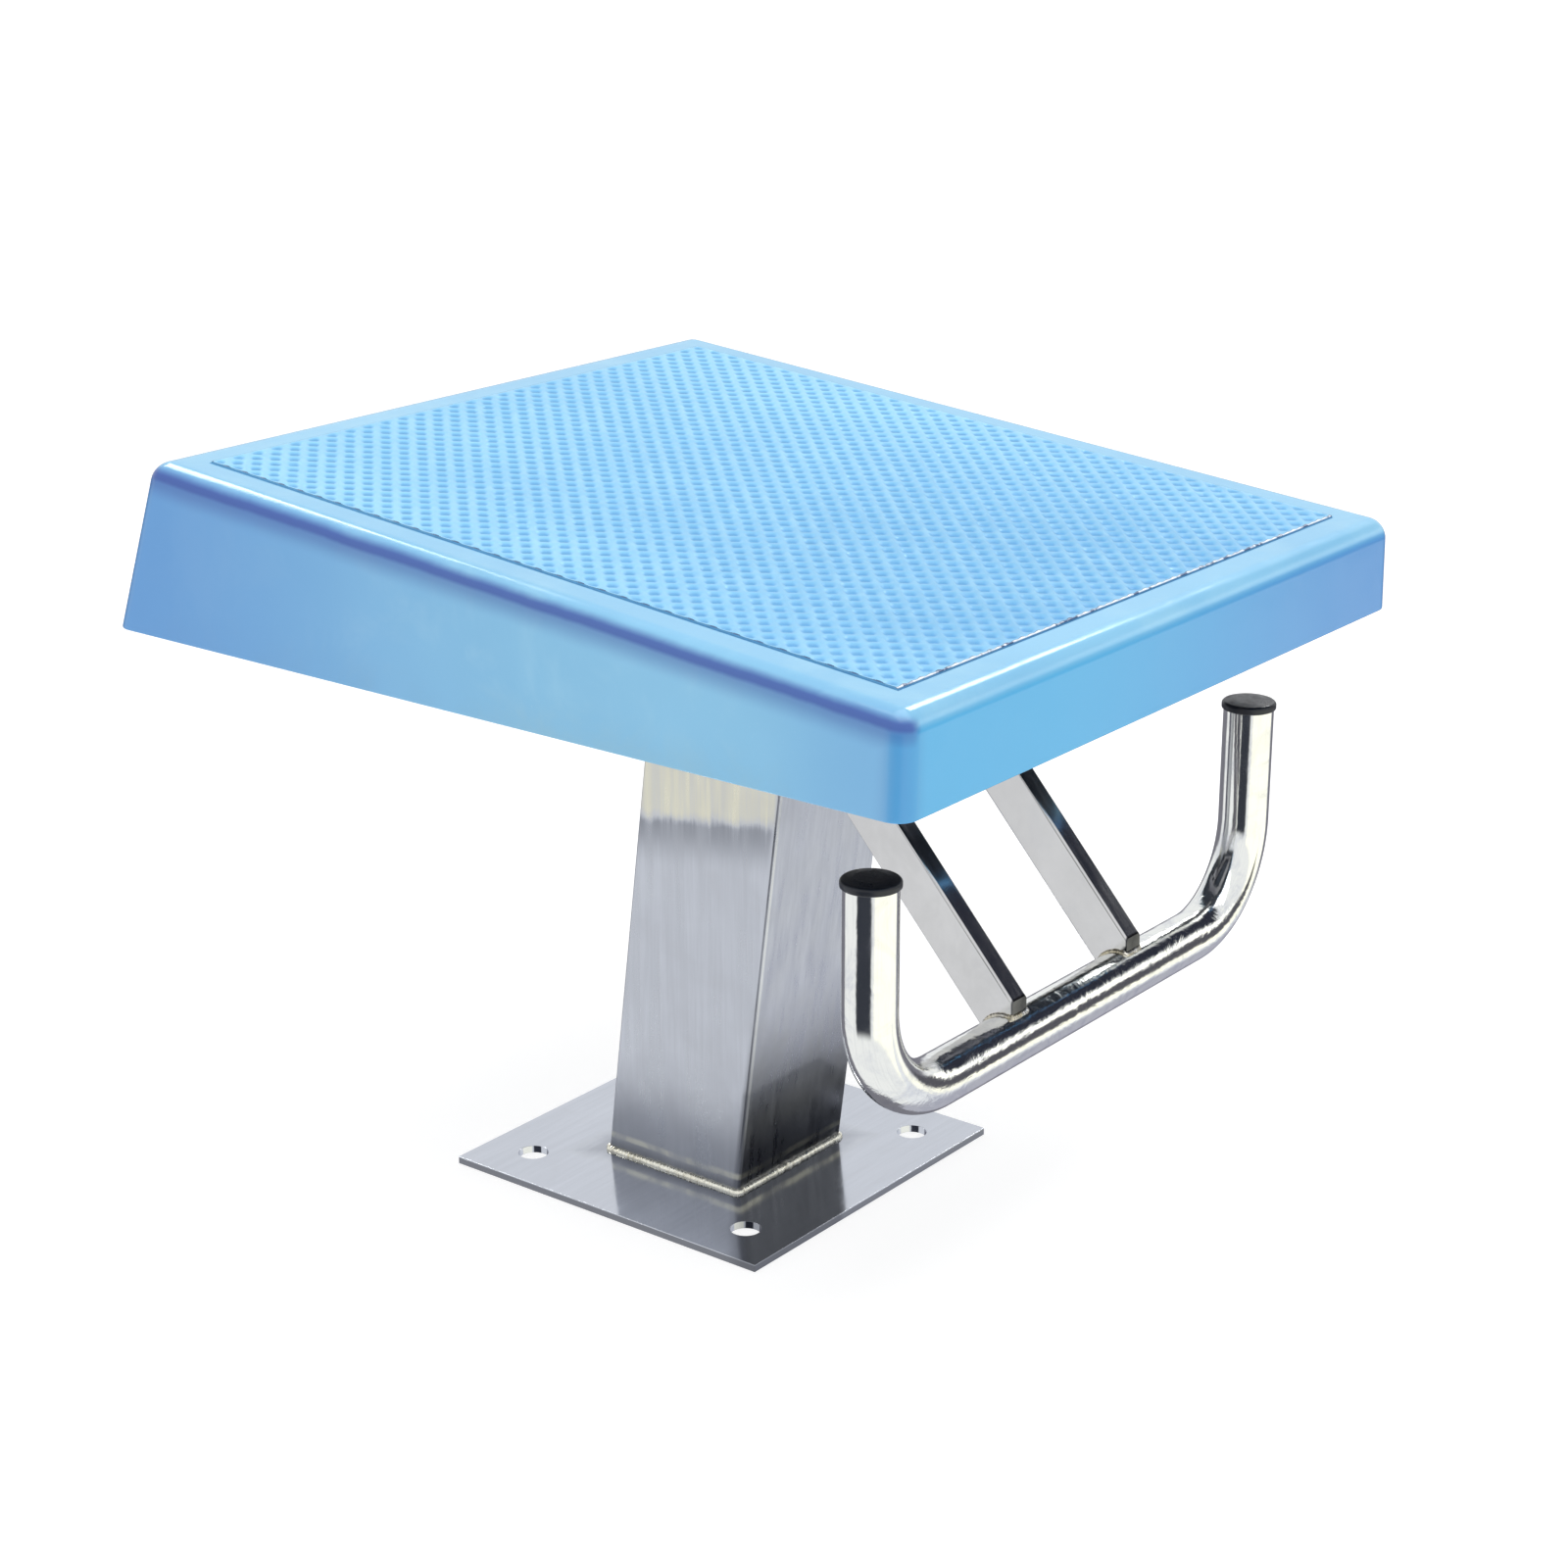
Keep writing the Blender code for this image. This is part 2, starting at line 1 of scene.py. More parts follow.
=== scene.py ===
"""Looks of the pool starting block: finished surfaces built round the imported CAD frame.

Everything is in metres in the row's frame: +Z up, -Y towards the water, the origin under the
middle of the base plate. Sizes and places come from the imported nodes; the constants below add
only what the CAD leaves out, such as finer edges, weld beads, the tread's relief and materials.
"""

import json
import math

import bmesh
import bpy
import numpy as np
from mathutils import Matrix, Vector


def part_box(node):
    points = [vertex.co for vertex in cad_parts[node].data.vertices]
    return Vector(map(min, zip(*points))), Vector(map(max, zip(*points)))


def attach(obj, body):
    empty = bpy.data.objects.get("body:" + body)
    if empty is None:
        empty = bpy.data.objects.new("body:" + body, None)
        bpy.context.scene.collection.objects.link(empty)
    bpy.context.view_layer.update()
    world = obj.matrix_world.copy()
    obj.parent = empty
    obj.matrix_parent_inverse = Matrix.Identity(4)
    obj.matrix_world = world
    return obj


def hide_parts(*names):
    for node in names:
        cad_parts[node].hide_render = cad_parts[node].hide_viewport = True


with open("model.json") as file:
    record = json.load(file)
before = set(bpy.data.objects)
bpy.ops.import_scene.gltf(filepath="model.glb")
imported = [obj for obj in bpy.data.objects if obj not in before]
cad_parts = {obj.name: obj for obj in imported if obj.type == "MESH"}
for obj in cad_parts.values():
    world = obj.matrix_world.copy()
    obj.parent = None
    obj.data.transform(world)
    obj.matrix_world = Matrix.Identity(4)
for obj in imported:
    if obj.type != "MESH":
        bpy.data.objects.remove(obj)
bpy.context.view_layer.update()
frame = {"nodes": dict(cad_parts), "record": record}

BODY = "root"
NODES = frame["nodes"]

# Platform shell
SHELL_WALL = 0.005
SHELL_EDGE_RADIUS = 0.012
SHELL_EDGE_STEPS = 10
LIP_RADIUS = 0.0007
RIM_RADIUS = 0.0012
BOSS_RADIUS = 0.017
BOSS_FOOT = 0.004
BOSS_FILLET = 0.002
CLEARANCE = 0.0003

# Anti-slip panel
TREAD_PERIOD = 0.0157
TREAD_STEPS = 10
TREAD_RELIEF = 0.0016
RIDGE_CREST = 0.10
RIDGE_FOOT = 0.66
SCALE_RISE = 0.34
SCALE_SHARE = 0.85
SCALE_BOW = 0.12
PANEL_MARGIN = 0.0004
PANEL_BORDER = 0.0035
PANEL_EDGE_DROP = 0.0006
EDGE_SHADOW_MARK = 1.12
EDGE_HIGHLIGHT_MARK = 1.50

# Steelwork
POST_WALL = 0.003
POST_EDGE_RADIUS = 0.0025
POST_ROWS = 24
PLATE_EDGE = 0.0005
ANCHOR_RADIUS = 0.010
GRIP_BEND_RADIUS = 0.064
GRIP_SIDES = 56
BEND_STEPS = 28
CAP_EDGE_RADIUS = 0.0022
STRUT_EDGE_RADIUS = 0.0016
FRAME_EDGE_RADIUS = 0.0007
ROUND_SIDES = 48
FINE_SIDES = 96
OVERCUT = 0.02
MERGE_DISTANCE = 0.00001

# Fasteners
BOLT_RADIUS = 0.004
NUT_BORE = 0.0043
WASHER_BORE = 0.0045
WASHER_EDGE = 0.0002
THREAD_PITCH = 0.00125
THREAD_DEPTH = 0.0006
THREAD_TAPER = 0.0008
HEX_SAMPLES = 72

# Weld beads
FOOT_BEAD = 0.0028
STRUT_BEAD = 0.0017
FRAME_BEAD = 0.0020
BEAD_STEP = 0.0005
BEAD_SIDES = 10
RIPPLE = 0.0019

# Camera
CAMERA_PLACE = (-1.46604, -1.18855, 0.90361)
CAMERA_AZIMUTH = -52.186
CAMERA_ELEVATION = 18.885
CAMERA_LENS = 71.215
CAMERA_SENSOR = 36
CAMERA_REACH = 100

# Studio: floor, softbox and panels, each with its tone, its azimuths, elevations and edge softness
# in degrees, and later ones over earlier ones
FLOOR_GLOW = 0.82
FLOOR_REACH = 25
FLOOR_GREYS = ((0.38, 0.38, 0.38), (0.40, 0.40, 0.40))
SKY_COLOUR = (0.97, 0.98, 1.0)
SKY_STRENGTH = 0.48
OVERHEAD_POWER = 76
OVERHEAD_SIZE = 3.2
OVERHEAD_VIEW = (-20, 80)
OVERHEAD_DISTANCE = 3.0
LIGHT_TARGET = (0, -0.05, 0.3)
STUDIO_WHITE = (0.90, 0.92, 0.95)
STUDIO_PANELS = (
    ((0.20, 0.20, 0.24), (70, 200), (-90, -2), 8),
    ((0.20, 0.20, 0.24), (-200, -172), (-90, -2), 8),
    ((1.30, 1.29, 1.12), (-38, 66), (-34, 2), 6),
    ((0.84, 0.87, 0.94), (40, 92), (-60, -24), 5),
    ((0.45, 0.46, 0.55), (58, 104), (-70, -28), 5),
    ((0.04, 0.045, 0.06), (-110, -50), (-34, -6), 8),
    ((0.10, 0.10, 0.12), (30, 78), (-13, 8), 5),
    ((1.60, 1.60, 1.50), (30, 76), (9, 19), 4),
    ((0.025, 0.028, 0.045), (42, 84), (22, 62), 5),
    ((14.0, 14.0, 14.0), (92, 112), (35, 42), 3),
    ((14.0, 14.0, 13.5), (150, 178), (40, 50), 4),
)


# ---------------------------------------------------------------- reading the frame


def node_points(name):
    return np.array([vertex.co for vertex in NODES[name].data.vertices])


def slope_of(name):
    """Tilt about X of a flat node's top face."""
    faces = NODES[name].data.polygons
    top = max((face for face in faces if face.normal.z > 0.9), key=lambda face: face.area)
    return math.atan2(-top.normal.y, top.normal.z)


DECK_SLOPE = slope_of("anti_slip_panel")
DECK_TURN = Matrix.Rotation(DECK_SLOPE, 4, "X")
DECK_NORMAL = DECK_TURN @ Vector((0, 0, 1))
DECK_HEIGHT = float((node_points("platform_shell") @ np.array(DECK_NORMAL)).max()) / DECK_NORMAL.z
DECK = Matrix.Translation((0, 0, DECK_HEIGHT)) @ DECK_TURN


def deck_box(name):
    """Lowest and highest corner of a node along the deck's own axes."""
    turn = np.array(DECK.inverted())
    points = node_points(name) @ turn[:3, :3].T + turn[:3, 3]
    return Vector(points.min(0)), Vector(points.max(0))


def outer_plane(name, direction):
    """Normal and offset of a node's largest face that looks and lies towards the direction."""
    low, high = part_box(name)
    centre = (low + high) / 2
    way = Vector(direction)
    best = max(
        (
            face
            for face in NODES[name].data.polygons
            if face.normal.dot(way) > 0.9 and (face.center - centre).dot(way) > 0
        ),
        key=lambda face: face.area,
    )
    return best.normal.copy(), best.normal.dot(best.center)


def meeting_point(*planes):
    """Where three (normal, offset) planes meet."""
    normals = np.array([plane[0] for plane in planes])
    offsets = np.array([plane[1] for plane in planes])
    return Vector(np.linalg.solve(normals, offsets))


def longest_edge(name):
    """Direction of a node's longest edge, upwards."""
    mesh = NODES[name].data
    ends = [(mesh.vertices[a].co, mesh.vertices[b].co) for a, b in (edge.vertices for edge in mesh.edges)]
    first, second = max(ends, key=lambda pair: (pair[0] - pair[1]).length)
    along = (second - first).normalized()
    return along if along.z > 0 else -along


SHELL_LOW, SHELL_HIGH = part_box("platform_shell")
SKIRT_TOP = DECK_HEIGHT + SHELL_LOW.y * math.tan(DECK_SLOPE)
STRUT_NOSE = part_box("strut_left")[0].y
PLATE_LOW, PLATE_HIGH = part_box("base_plate")

POST_LOW, POST_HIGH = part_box("post")
POST_HALF = POST_HIGH.x
POST_POINTS = node_points("post").tolist()
POST_TOE = min((point for point in POST_POINTS if point[2] < POST_LOW.z + 0.0001), key=lambda p: p[1])
POST_CREST = min(POST_POINTS, key=lambda point: point[1])
POST_LEAN = (POST_TOE[1] - POST_CREST[1]) / (POST_CREST[2] - POST_TOE[2])

GRIP_LOW, GRIP_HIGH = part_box("handle_tube")
GRIP_RADIUS = (GRIP_HIGH.y - GRIP_LOW.y) / 2
GRIP_HALF = GRIP_HIGH.x - GRIP_RADIUS
GRIP_BAR = GRIP_LOW.z + GRIP_RADIUS
GRIP_Y = (GRIP_LOW.y + GRIP_HIGH.y) / 2


# ---------------------------------------------------------------- mesh helpers


def add_piece(name, mesh, material, slot, *replaced, sharp=40, flat=False):
    """A visible piece: smooth but for edges past the sharp angle, and where flat is set its flat
    faces stay flat beside small rounded edges."""
    mesh.shade_smooth()
    mesh.set_sharp_from_angle(angle=math.radians(sharp))
    piece = bpy.data.objects.new(name, mesh)
    bpy.context.scene.collection.objects.link(piece)
    indices = np.zeros(len(mesh.polygons), dtype=np.int32)
    mesh.polygons.foreach_get("material_index", indices)
    mesh.materials.clear()
    for entry in material if isinstance(material, (list, tuple)) else [material]:
        mesh.materials.append(entry)
    mesh.polygons.foreach_set("material_index", np.minimum(indices, len(mesh.materials) - 1))
    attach(piece, BODY)
    if replaced:
        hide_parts(*replaced)
    if flat:
        modifier = piece.modifiers.new("flat_faces", "WEIGHTED_NORMAL")
        modifier.keep_sharp = True
        modifier.weight = 80


def mesh_from(bm, name):
    bmesh.ops.recalc_face_normals(bm, faces=bm.faces)
    mesh = bpy.data.meshes.new(name)
    bm.to_mesh(mesh)
    bm.free()
    return mesh


def loft(name, rings, caps=True, closed=False):
    """A mesh through rings of points, with a map of metres along and around it."""
    rings = np.asarray(rings, float)
    count, sides = rings.shape[:2]
    bm = bmesh.new()
    verts = [[bm.verts.new(point) for point in ring] for ring in rings]
    around = rings.mean(0)
    around = np.r_[0, np.linalg.norm(around - np.roll(around, -1, 0), axis=1).cumsum()]
    middle = rings.mean(1)
    along = np.r_[0, np.linalg.norm(np.roll(middle, -1, 0) - middle, axis=1).cumsum()]
    grain = bm.loops.layers.uv.new("grain")
    for i in range(count if closed else count - 1):
        after = (i + 1) % count
        for j in range(sides):
            k = (j + 1) % sides
            face = bm.faces.new((verts[i][j], verts[i][k], verts[after][k], verts[after][j]))
            places = ((i, j), (i, j + 1), (i + 1, j + 1), (i + 1, j))
            for loop, (row, column) in zip(face.loops, places):
                loop[grain].uv = (along[row], around[column])
    if caps and not closed:
        bm.faces.new(verts[0])
        bm.faces.new(verts[-1])
    return mesh_from(bm, name)


def turned(name, profile, sides, place=Matrix()):
    """A body of revolution about Z from (radius, height) points."""
    turns = np.linspace(0, 2 * math.pi, sides, endpoint=False)
    bm = bmesh.new()
    rings = []
    for radius, height in profile:
        if radius == 0:
            rings.append([bm.verts.new((0, 0, height))] * sides)
        else:
            points = [(radius * math.cos(t), radius * math.sin(t), height) for t in turns]
            rings.append([bm.verts.new(point) for point in points])
    closed = profile[0][0] > 0
    pairs = list(zip(rings, rings[1:])) + ([(rings[-1], rings[0])] if closed else [])
    for first, second in pairs:
        for j in range(sides):
            k = (j + 1) % sides
            corners = (first[j], first[k], second[k], second[j])
            bm.faces.new([v for n, v in enumerate(corners) if v not in corners[:n]])
    mesh = mesh_from(bm, name)
    mesh.transform(place)
    return mesh


def rounded(points, radius, steps):
    """The profile with each inner corner rounded by the radius."""
    points = [Vector(point) for point in points]
    made = [points[0]]
    for before, corner, after in zip(points, points[1:], points[2:]):
        a, b = (before - corner).normalized(), (after - corner).normalized()
        half = math.acos(max(-1, min(1, a.dot(b)))) / 2
        reach = min(radius / math.tan(half), (before - corner).length / 2, (after - corner).length / 2)
        start, end = corner + a * reach, corner + b * reach
        for step in range(steps + 1):
            t = step / steps
            made.append(start * (1 - t) ** 2 + corner * 2 * t * (1 - t) + end * t**2)
    return made + [points[-1]]


def box_mesh(name, low, high, place=Matrix()):
    bm = bmesh.new()
    bmesh.ops.create_cube(bm, size=1)
    size, centre = Vector(high) - Vector(low), (Vector(high) + Vector(low)) / 2
    bmesh.ops.scale(bm, vec=size, verts=bm.verts)
    bmesh.ops.translate(bm, vec=centre, verts=bm.verts)
    mesh = mesh_from(bm, name)
    mesh.transform(place)
    return mesh


def cylinder_mesh(name, radius, low, high, sides, place=Matrix()):
    return turned(name, [(0, low), (radius, low), (radius, high), (0, high)], sides, place)


def combined(mesh, others, operation):
    """The mesh with each other mesh united with it or cut from it."""
    work = bpy.data.objects.new("work", mesh)
    bpy.context.scene.collection.objects.link(work)
    helpers = []
    for other in others:
        helper = bpy.data.objects.new("helper", other)
        bpy.context.scene.collection.objects.link(helper)
        helpers.append(helper)
        modifier = work.modifiers.new("cut", "BOOLEAN")
        modifier.operation = operation
        modifier.solver = "EXACT"
        modifier.object = helper
    graph = bpy.context.evaluated_depsgraph_get()
    made = bpy.data.meshes.new_from_object(work.evaluated_get(graph))
    for item in [work, *helpers]:
        bpy.data.objects.remove(item)
    return made


def soften(mesh, width, steps=2, degrees=40, where=None):
    """Rounds the mesh's sharp edges, or those whose middle passes the test."""
    bm = bmesh.new()
    bm.from_mesh(mesh)
    bmesh.ops.remove_doubles(bm, verts=bm.verts, dist=MERGE_DISTANCE)
    bmesh.ops.dissolve_limit(bm, angle_limit=0.002, verts=bm.verts, edges=bm.edges)
    sharp = [
        edge
        for edge in bm.edges
        if edge.is_manifold
        and edge.calc_face_angle(0) > math.radians(degrees)
        and (where is None or where((edge.verts[0].co + edge.verts[1].co) / 2))
    ]
    bmesh.ops.bevel(
        bm, geom=sharp, offset=width, segments=steps, profile=0.5, affect="EDGES", clamp_overlap=True
    )
    bm.to_mesh(mesh)
    bm.free()
    return mesh


def centred(low, high):
    """The deck's place moved to the middle of a box in the deck's own axes."""
    return DECK @ Matrix.Translation(((low.x + high.x) / 2, (low.y + high.y) / 2, 0))


# ---------------------------------------------------------------- node graphs


class Field:
    """A node's output with arithmetic: each operator adds a Math node."""

    def __init__(self, graph, socket):
        self.graph, self.socket = graph, socket

    def __add__(self, other):
        return self.graph.math("ADD", self, other)

    def __sub__(self, other):
        return self.graph.math("SUBTRACT", self, other)

    def __rsub__(self, other):
        return self.graph.math("SUBTRACT", other, self)

    def __mul__(self, other):
        return self.graph.math("MULTIPLY", self, other)

    def __abs__(self):
        return self.graph.math("ABSOLUTE", self)


class Graph:
    """A node tree under construction, where an input takes a Field, a number or a colour."""

    def __init__(self, tree):
        self.nodes, self.links = tree.nodes, tree.links

    def put(self, socket, value):
        if isinstance(value, Field):
            self.links.new(value.socket, socket)
        elif socket.type == "RGBA":
            socket.default_value = (*value, 1)
        else:
            socket.default_value = value

    def node(self, kind, values=(), **settings):
        made = self.nodes.new("ShaderNode" + kind)
        for setting, value in settings.items():
            setattr(made, setting, value)
        for socket, value in dict(values).items():
            self.put(made.inputs[socket], value)
        return made

    def field(self, kind, output, values=(), **settings):
        return Field(self, self.node(kind, values, **settings).outputs[output])

    def math(self, operation, first, second=0.0):
        return self.field("Math", 0, {0: first, 1: second}, operation=operation)

    def span(self, value, low, high, to_low=0.0, to_high=1.0):
        """value from low..high eased to to_low..to_high."""
        values = {"Value": value, "From Min": low, "From Max": high, "To Min": to_low, "To Max": to_high}
        return self.field("MapRange", "Result", values, interpolation_type="SMOOTHSTEP")

    def between(self, value, start, full, fading, end):
        """0 up to start, 1 from full to fading, and 0 from end on."""
        return self.span(value, start, full) * self.span(value, end, fading)

    def blend(self, factor, first, second):
        return self.field("Mix", 2, {0: factor, 6: first, 7: second}, data_type="RGBA")

    def split(self, vector):
        """The X, Y and Z of a vector."""
        made = self.node("SeparateXYZ", {"Vector": vector})
        return [Field(self, made.outputs[axis]) for axis in "XYZ"]


class Surface(Graph):
    """A Principled material; keywords set its uniform sockets."""

    def __init__(self, name, **sockets):
        self.material = bpy.data.materials.new(name)
        self.material.use_nodes = True
        super().__init__(self.material.node_tree)
        self.shader = self.nodes["Principled BSDF"]
        self.place = self.field("TexCoord", "Object")
        for socket, value in sockets.items():
            self.put(self.shader.inputs[socket.replace("_", " ")], value)

    def xyz(self):
        return self.split(self.place)

    def noise(self, scale, detail=2.0, roughness=0.5, distortion=0.0, vector=None):
        values = {
            "Vector": vector or self.place,
            "Scale": scale,
            "Detail": detail,
            "Roughness": roughness,
            "Distortion": distortion,
        }
        return self.field("TexNoise", "Fac", values)

    def stretched(self, scales, vector=None):
        return self.field("Mapping", "Vector", {"Vector": vector or self.place, "Scale": scales})

    def bump(self, height, strength, distance, below=None):
        values = {"Height": height, "Strength": strength, "Distance": distance}
        if below is not None:
            values["Normal"] = below
        return self.field("Bump", "Normal", values)

    def finished(self, colour, roughness, normal):
        for socket, value in (("Base Color", colour), ("Roughness", roughness), ("Normal", normal)):
            self.put(self.shader.inputs[socket], value)
        return self.material


# ---------------------------------------------------------------- materials

# Colours, linear
GEL_DEEP = (0.252, 0.555, 0.810)
GEL_LIGHT = (0.290, 0.612, 0.860)
GEL_PALE = (0.360, 0.665, 0.860)
GEL_SHADE_INDIGO = (0.115, 0.315, 0.700)
GEL_FRONT_SHADE = (0.100, 0.480, 0.830)
GEL_EDGE_SHADE = (0.060, 0.110, 0.400)
GEL_DUST = (0.62, 0.80, 0.93)
GEL_GRIME = (0.20, 0.33, 0.42)
GEL_UNDER_SHADE = (0.026, 0.034, 0.052)
GEL_STRAND_SHADE = (0.060, 0.076, 0.105)
GEL_UNDER_DEEP_SHADE = (0.012, 0.016, 0.026)
TREAD_BLUE = (0.175, 0.470, 0.750)
TREAD_CYAN = (0.290, 0.650, 0.920)
TREAD_PIT_SHADE = (0.100, 0.350, 0.660)
TREAD_EDGE_SHADOW = (0.030, 0.075, 0.200)
TREAD_EDGE_HIGHLIGHT = (0.92, 0.96, 1.0)
TREAD_RUBBED = (0.42, 0.75, 0.93)
TREAD_DIRT = (0.10, 0.24, 0.38)
STEEL = (0.62, 0.64, 0.69)
STEEL_WARM = (0.68, 0.67, 0.66)
STEEL_DULL = (0.50, 0.50, 0.53)
STEEL_HAZE = (0.56, 0.57, 0.60)
STEEL_SMOKE_AND_DARK_REFLECTION = (0.110, 0.113, 0.128)
STEEL_BURNT = (0.018, 0.020, 0.026)
STEEL_SOOT_AND_DARK_REFLECTION = (0.205, 0.213, 0.236)
STEEL_TOP_DARK = (0.16, 0.17, 0.20)
STEEL_STRAW = (0.78, 0.76, 0.62)
STEEL_CREAM_REFLECTION = (0.80, 0.77, 0.62)
CHROME_LIGHT = (0.92, 0.92, 0.87)
CHROME_SHADE = (0.72, 0.73, 0.75)
CHROME_LINE = (0.52, 0.53, 0.57)
CAP_BLACK = (0.006, 0.009, 0.016)
CAP_BROWN = (0.040, 0.034, 0.036)
WELD_BRIGHT = (0.97, 0.95, 0.84)
WELD_GREY = (0.62, 0.62, 0.62)
WELD_STRAW = (0.62, 0.54, 0.36)
WELD_BLUE = (0.20, 0.24, 0.36)
WELD_SOOT = (0.05, 0.05, 0.055)
ZINC_TONE = (0.66, 0.67, 0.70)
BRASS_TONE = (0.76, 0.56, 0.26)

# Painted shade on the moulding: heights under the deck's plane and reaches in from the faces
SHADE_REAR_START = -0.12
SHADE_RIGHT_START = -0.14
EDGE_SHADE_WIDE = (-0.024, -0.010, -0.0050, -0.0020)
EDGE_SHADE_CORE = (-0.0115, -0.0085, -0.0065, -0.0040)
CORNER_DOWN_SHADE = (0.022, 0.010)
CORNER_SHADE = (0.110, 0.020)

# Marks on the post, heat tint and painted reflection: heights over the ground
SMOKE = (0.010, 0.092)
DARK_REFLECTION_BAND = (0.055, 0.150)
REFLECTION_PEAK = 0.079
REFLECTION_PEAK_X = 0.019
REFLECTION_SLOPE = 0.72
FOOT_BAND = (0.008, 0.0165)
WIPED_LINE = (0.0135, 0.0155, 0.0170, 0.0200)
TOP_DARK_BAND = (0.215, 0.246, 0.246, 0.252)
CREAM_REFLECTION = (0.248, 0.256)
TOP_MARKS_TILT = 0.145

# Painted reflection of the post's dark foot on the base plate: its slant from the post's face towards the
# near corner, X over Y
REFLECTION_SLANT = 1.29


def gelcoat():
    """Glossy blue gelcoat: slight colour drift, faint waves in the moulding, fine dust and scuffs, and
    painted shade along its edges and faces.
    """
    s = Surface("gelcoat", Metallic=0.0, IOR=1.5, Specular_IOR_Level=0.32)
    drift = s.noise(4.5, 3, 0.55)
    cloud = s.noise(17, 4, 0.6, 0.4)
    specks = s.noise(1300, 1, 0.5)
    scuff = s.noise(38, 5, 0.65, 0.2)
    colour = s.blend(s.span(drift, 0.32, 0.68), GEL_DEEP, GEL_LIGHT)
    colour = s.blend(s.span(cloud, 0.45, 0.75, 0, 0.55), colour, GEL_PALE)
    colour = s.blend(s.span(specks, 0.72, 0.80, 0, 0.25), colour, GEL_DUST)
    grime = s.span(s.xyz()[2], SHELL_LOW.z + 0.030, SHELL_LOW.z) * s.span(cloud, 0.35, 0.7)
    colour = s.blend(grime * 0.20, colour, GEL_GRIME)
    # painted shade and tint on the moulding's edges and faces
    colour = painted_shading(s, colour, cloud)
    waves = s.bump(s.noise(9, 2, 0.4), 0.35, 0.004)
    peel = s.bump(s.noise(330, 2, 0.5), 0.10, 0.0004, waves)
    return s.finished(colour, s.span(scuff, 0.35, 0.75, 0.10, 0.20), peel)


def painted_shading(s, colour, cloud):
    """Painted shade: darker indigo at the rear of the left side and at the right of the front, a darker
    cyan along the top of the front, a painted shade band on the left top edge and down the near corner,
    and a light indigo shade on the left side near the near corner."""
    x, y, z = s.xyz()
    from_left, from_front = x - SHELL_LOW.x, y - SHELL_LOW.y
    under_deck = z - from_front * math.tan(DECK_SLOPE) - SKIRT_TOP
    # painted shade on the rear of the left side and along the front
    on_left = s.span(from_left, 0.014, 0.004)
    rear = on_left * s.span(y, SHADE_REAR_START, SHELL_HIGH.y)
    colour = s.blend(rear * 0.80, colour, GEL_SHADE_INDIGO)
    on_front = s.span(from_front, 0.016, 0.006) * s.span(under_deck, -0.005, -0.011)
    colour = s.blend(on_front * 0.90, colour, GEL_FRONT_SHADE)
    right = on_front * s.span(x, SHADE_RIGHT_START, SHELL_HIGH.x)
    colour = s.blend(right * 0.85, colour, GEL_SHADE_INDIGO)
    # painted shade band along the left top edge and down the near corner
    level = under_deck + (cloud - 0.5) * 0.003
    run = s.between(level, *EDGE_SHADE_WIDE) * 0.55 + s.between(level, *EDGE_SHADE_CORE) * 0.35
    run = run * s.span(from_left, 0.017, 0.008)
    corner = from_left + from_front
    down = s.span(corner, *CORNER_DOWN_SHADE) * s.span(level, -0.003, -0.012)
    nearby = s.span(corner, *CORNER_SHADE) * on_left
    colour = s.blend(nearby * 0.28, colour, GEL_SHADE_INDIGO)
    return s.blend(s.math("MAXIMUM", run, down * 0.17), colour, GEL_EDGE_SHADE)


def laminate():
    """The rough side of the moulding: chopped strands under flow coat, near-black as painted shade under
    the deck.
    """
    s = Surface("laminate", Metallic=0.0, IOR=1.5)
    crossing = s.field("Mapping", "Vector", {"Vector": s.place, "Rotation": (0.3, 0.2, 0.9)})
    first = s.noise(1, 3, 0.6, 0.6, s.stretched((60, 420, 90)))
    second = s.noise(1, 3, 0.6, 0.6, s.stretched((430, 70, 90), crossing))
    strands = s.math("MAXIMUM", first, second)
    blot = s.noise(22, 4, 0.6, 0.5)
    # near-black colours: painted shade of the shell's underside
    colour = s.blend(s.span(strands, 0.48, 0.72), GEL_UNDER_SHADE, GEL_STRAND_SHADE)
    colour = s.blend(s.span(blot, 0.4, 0.75, 0, 0.4), colour, GEL_UNDER_DEEP_SHADE)
    lumps = s.bump(strands, 0.6, 0.0006, s.bump(blot, 0.5, 0.002))
    return s.finished(colour, s.span(strands, 0.4, 0.75, 0.42, 0.68), lumps)


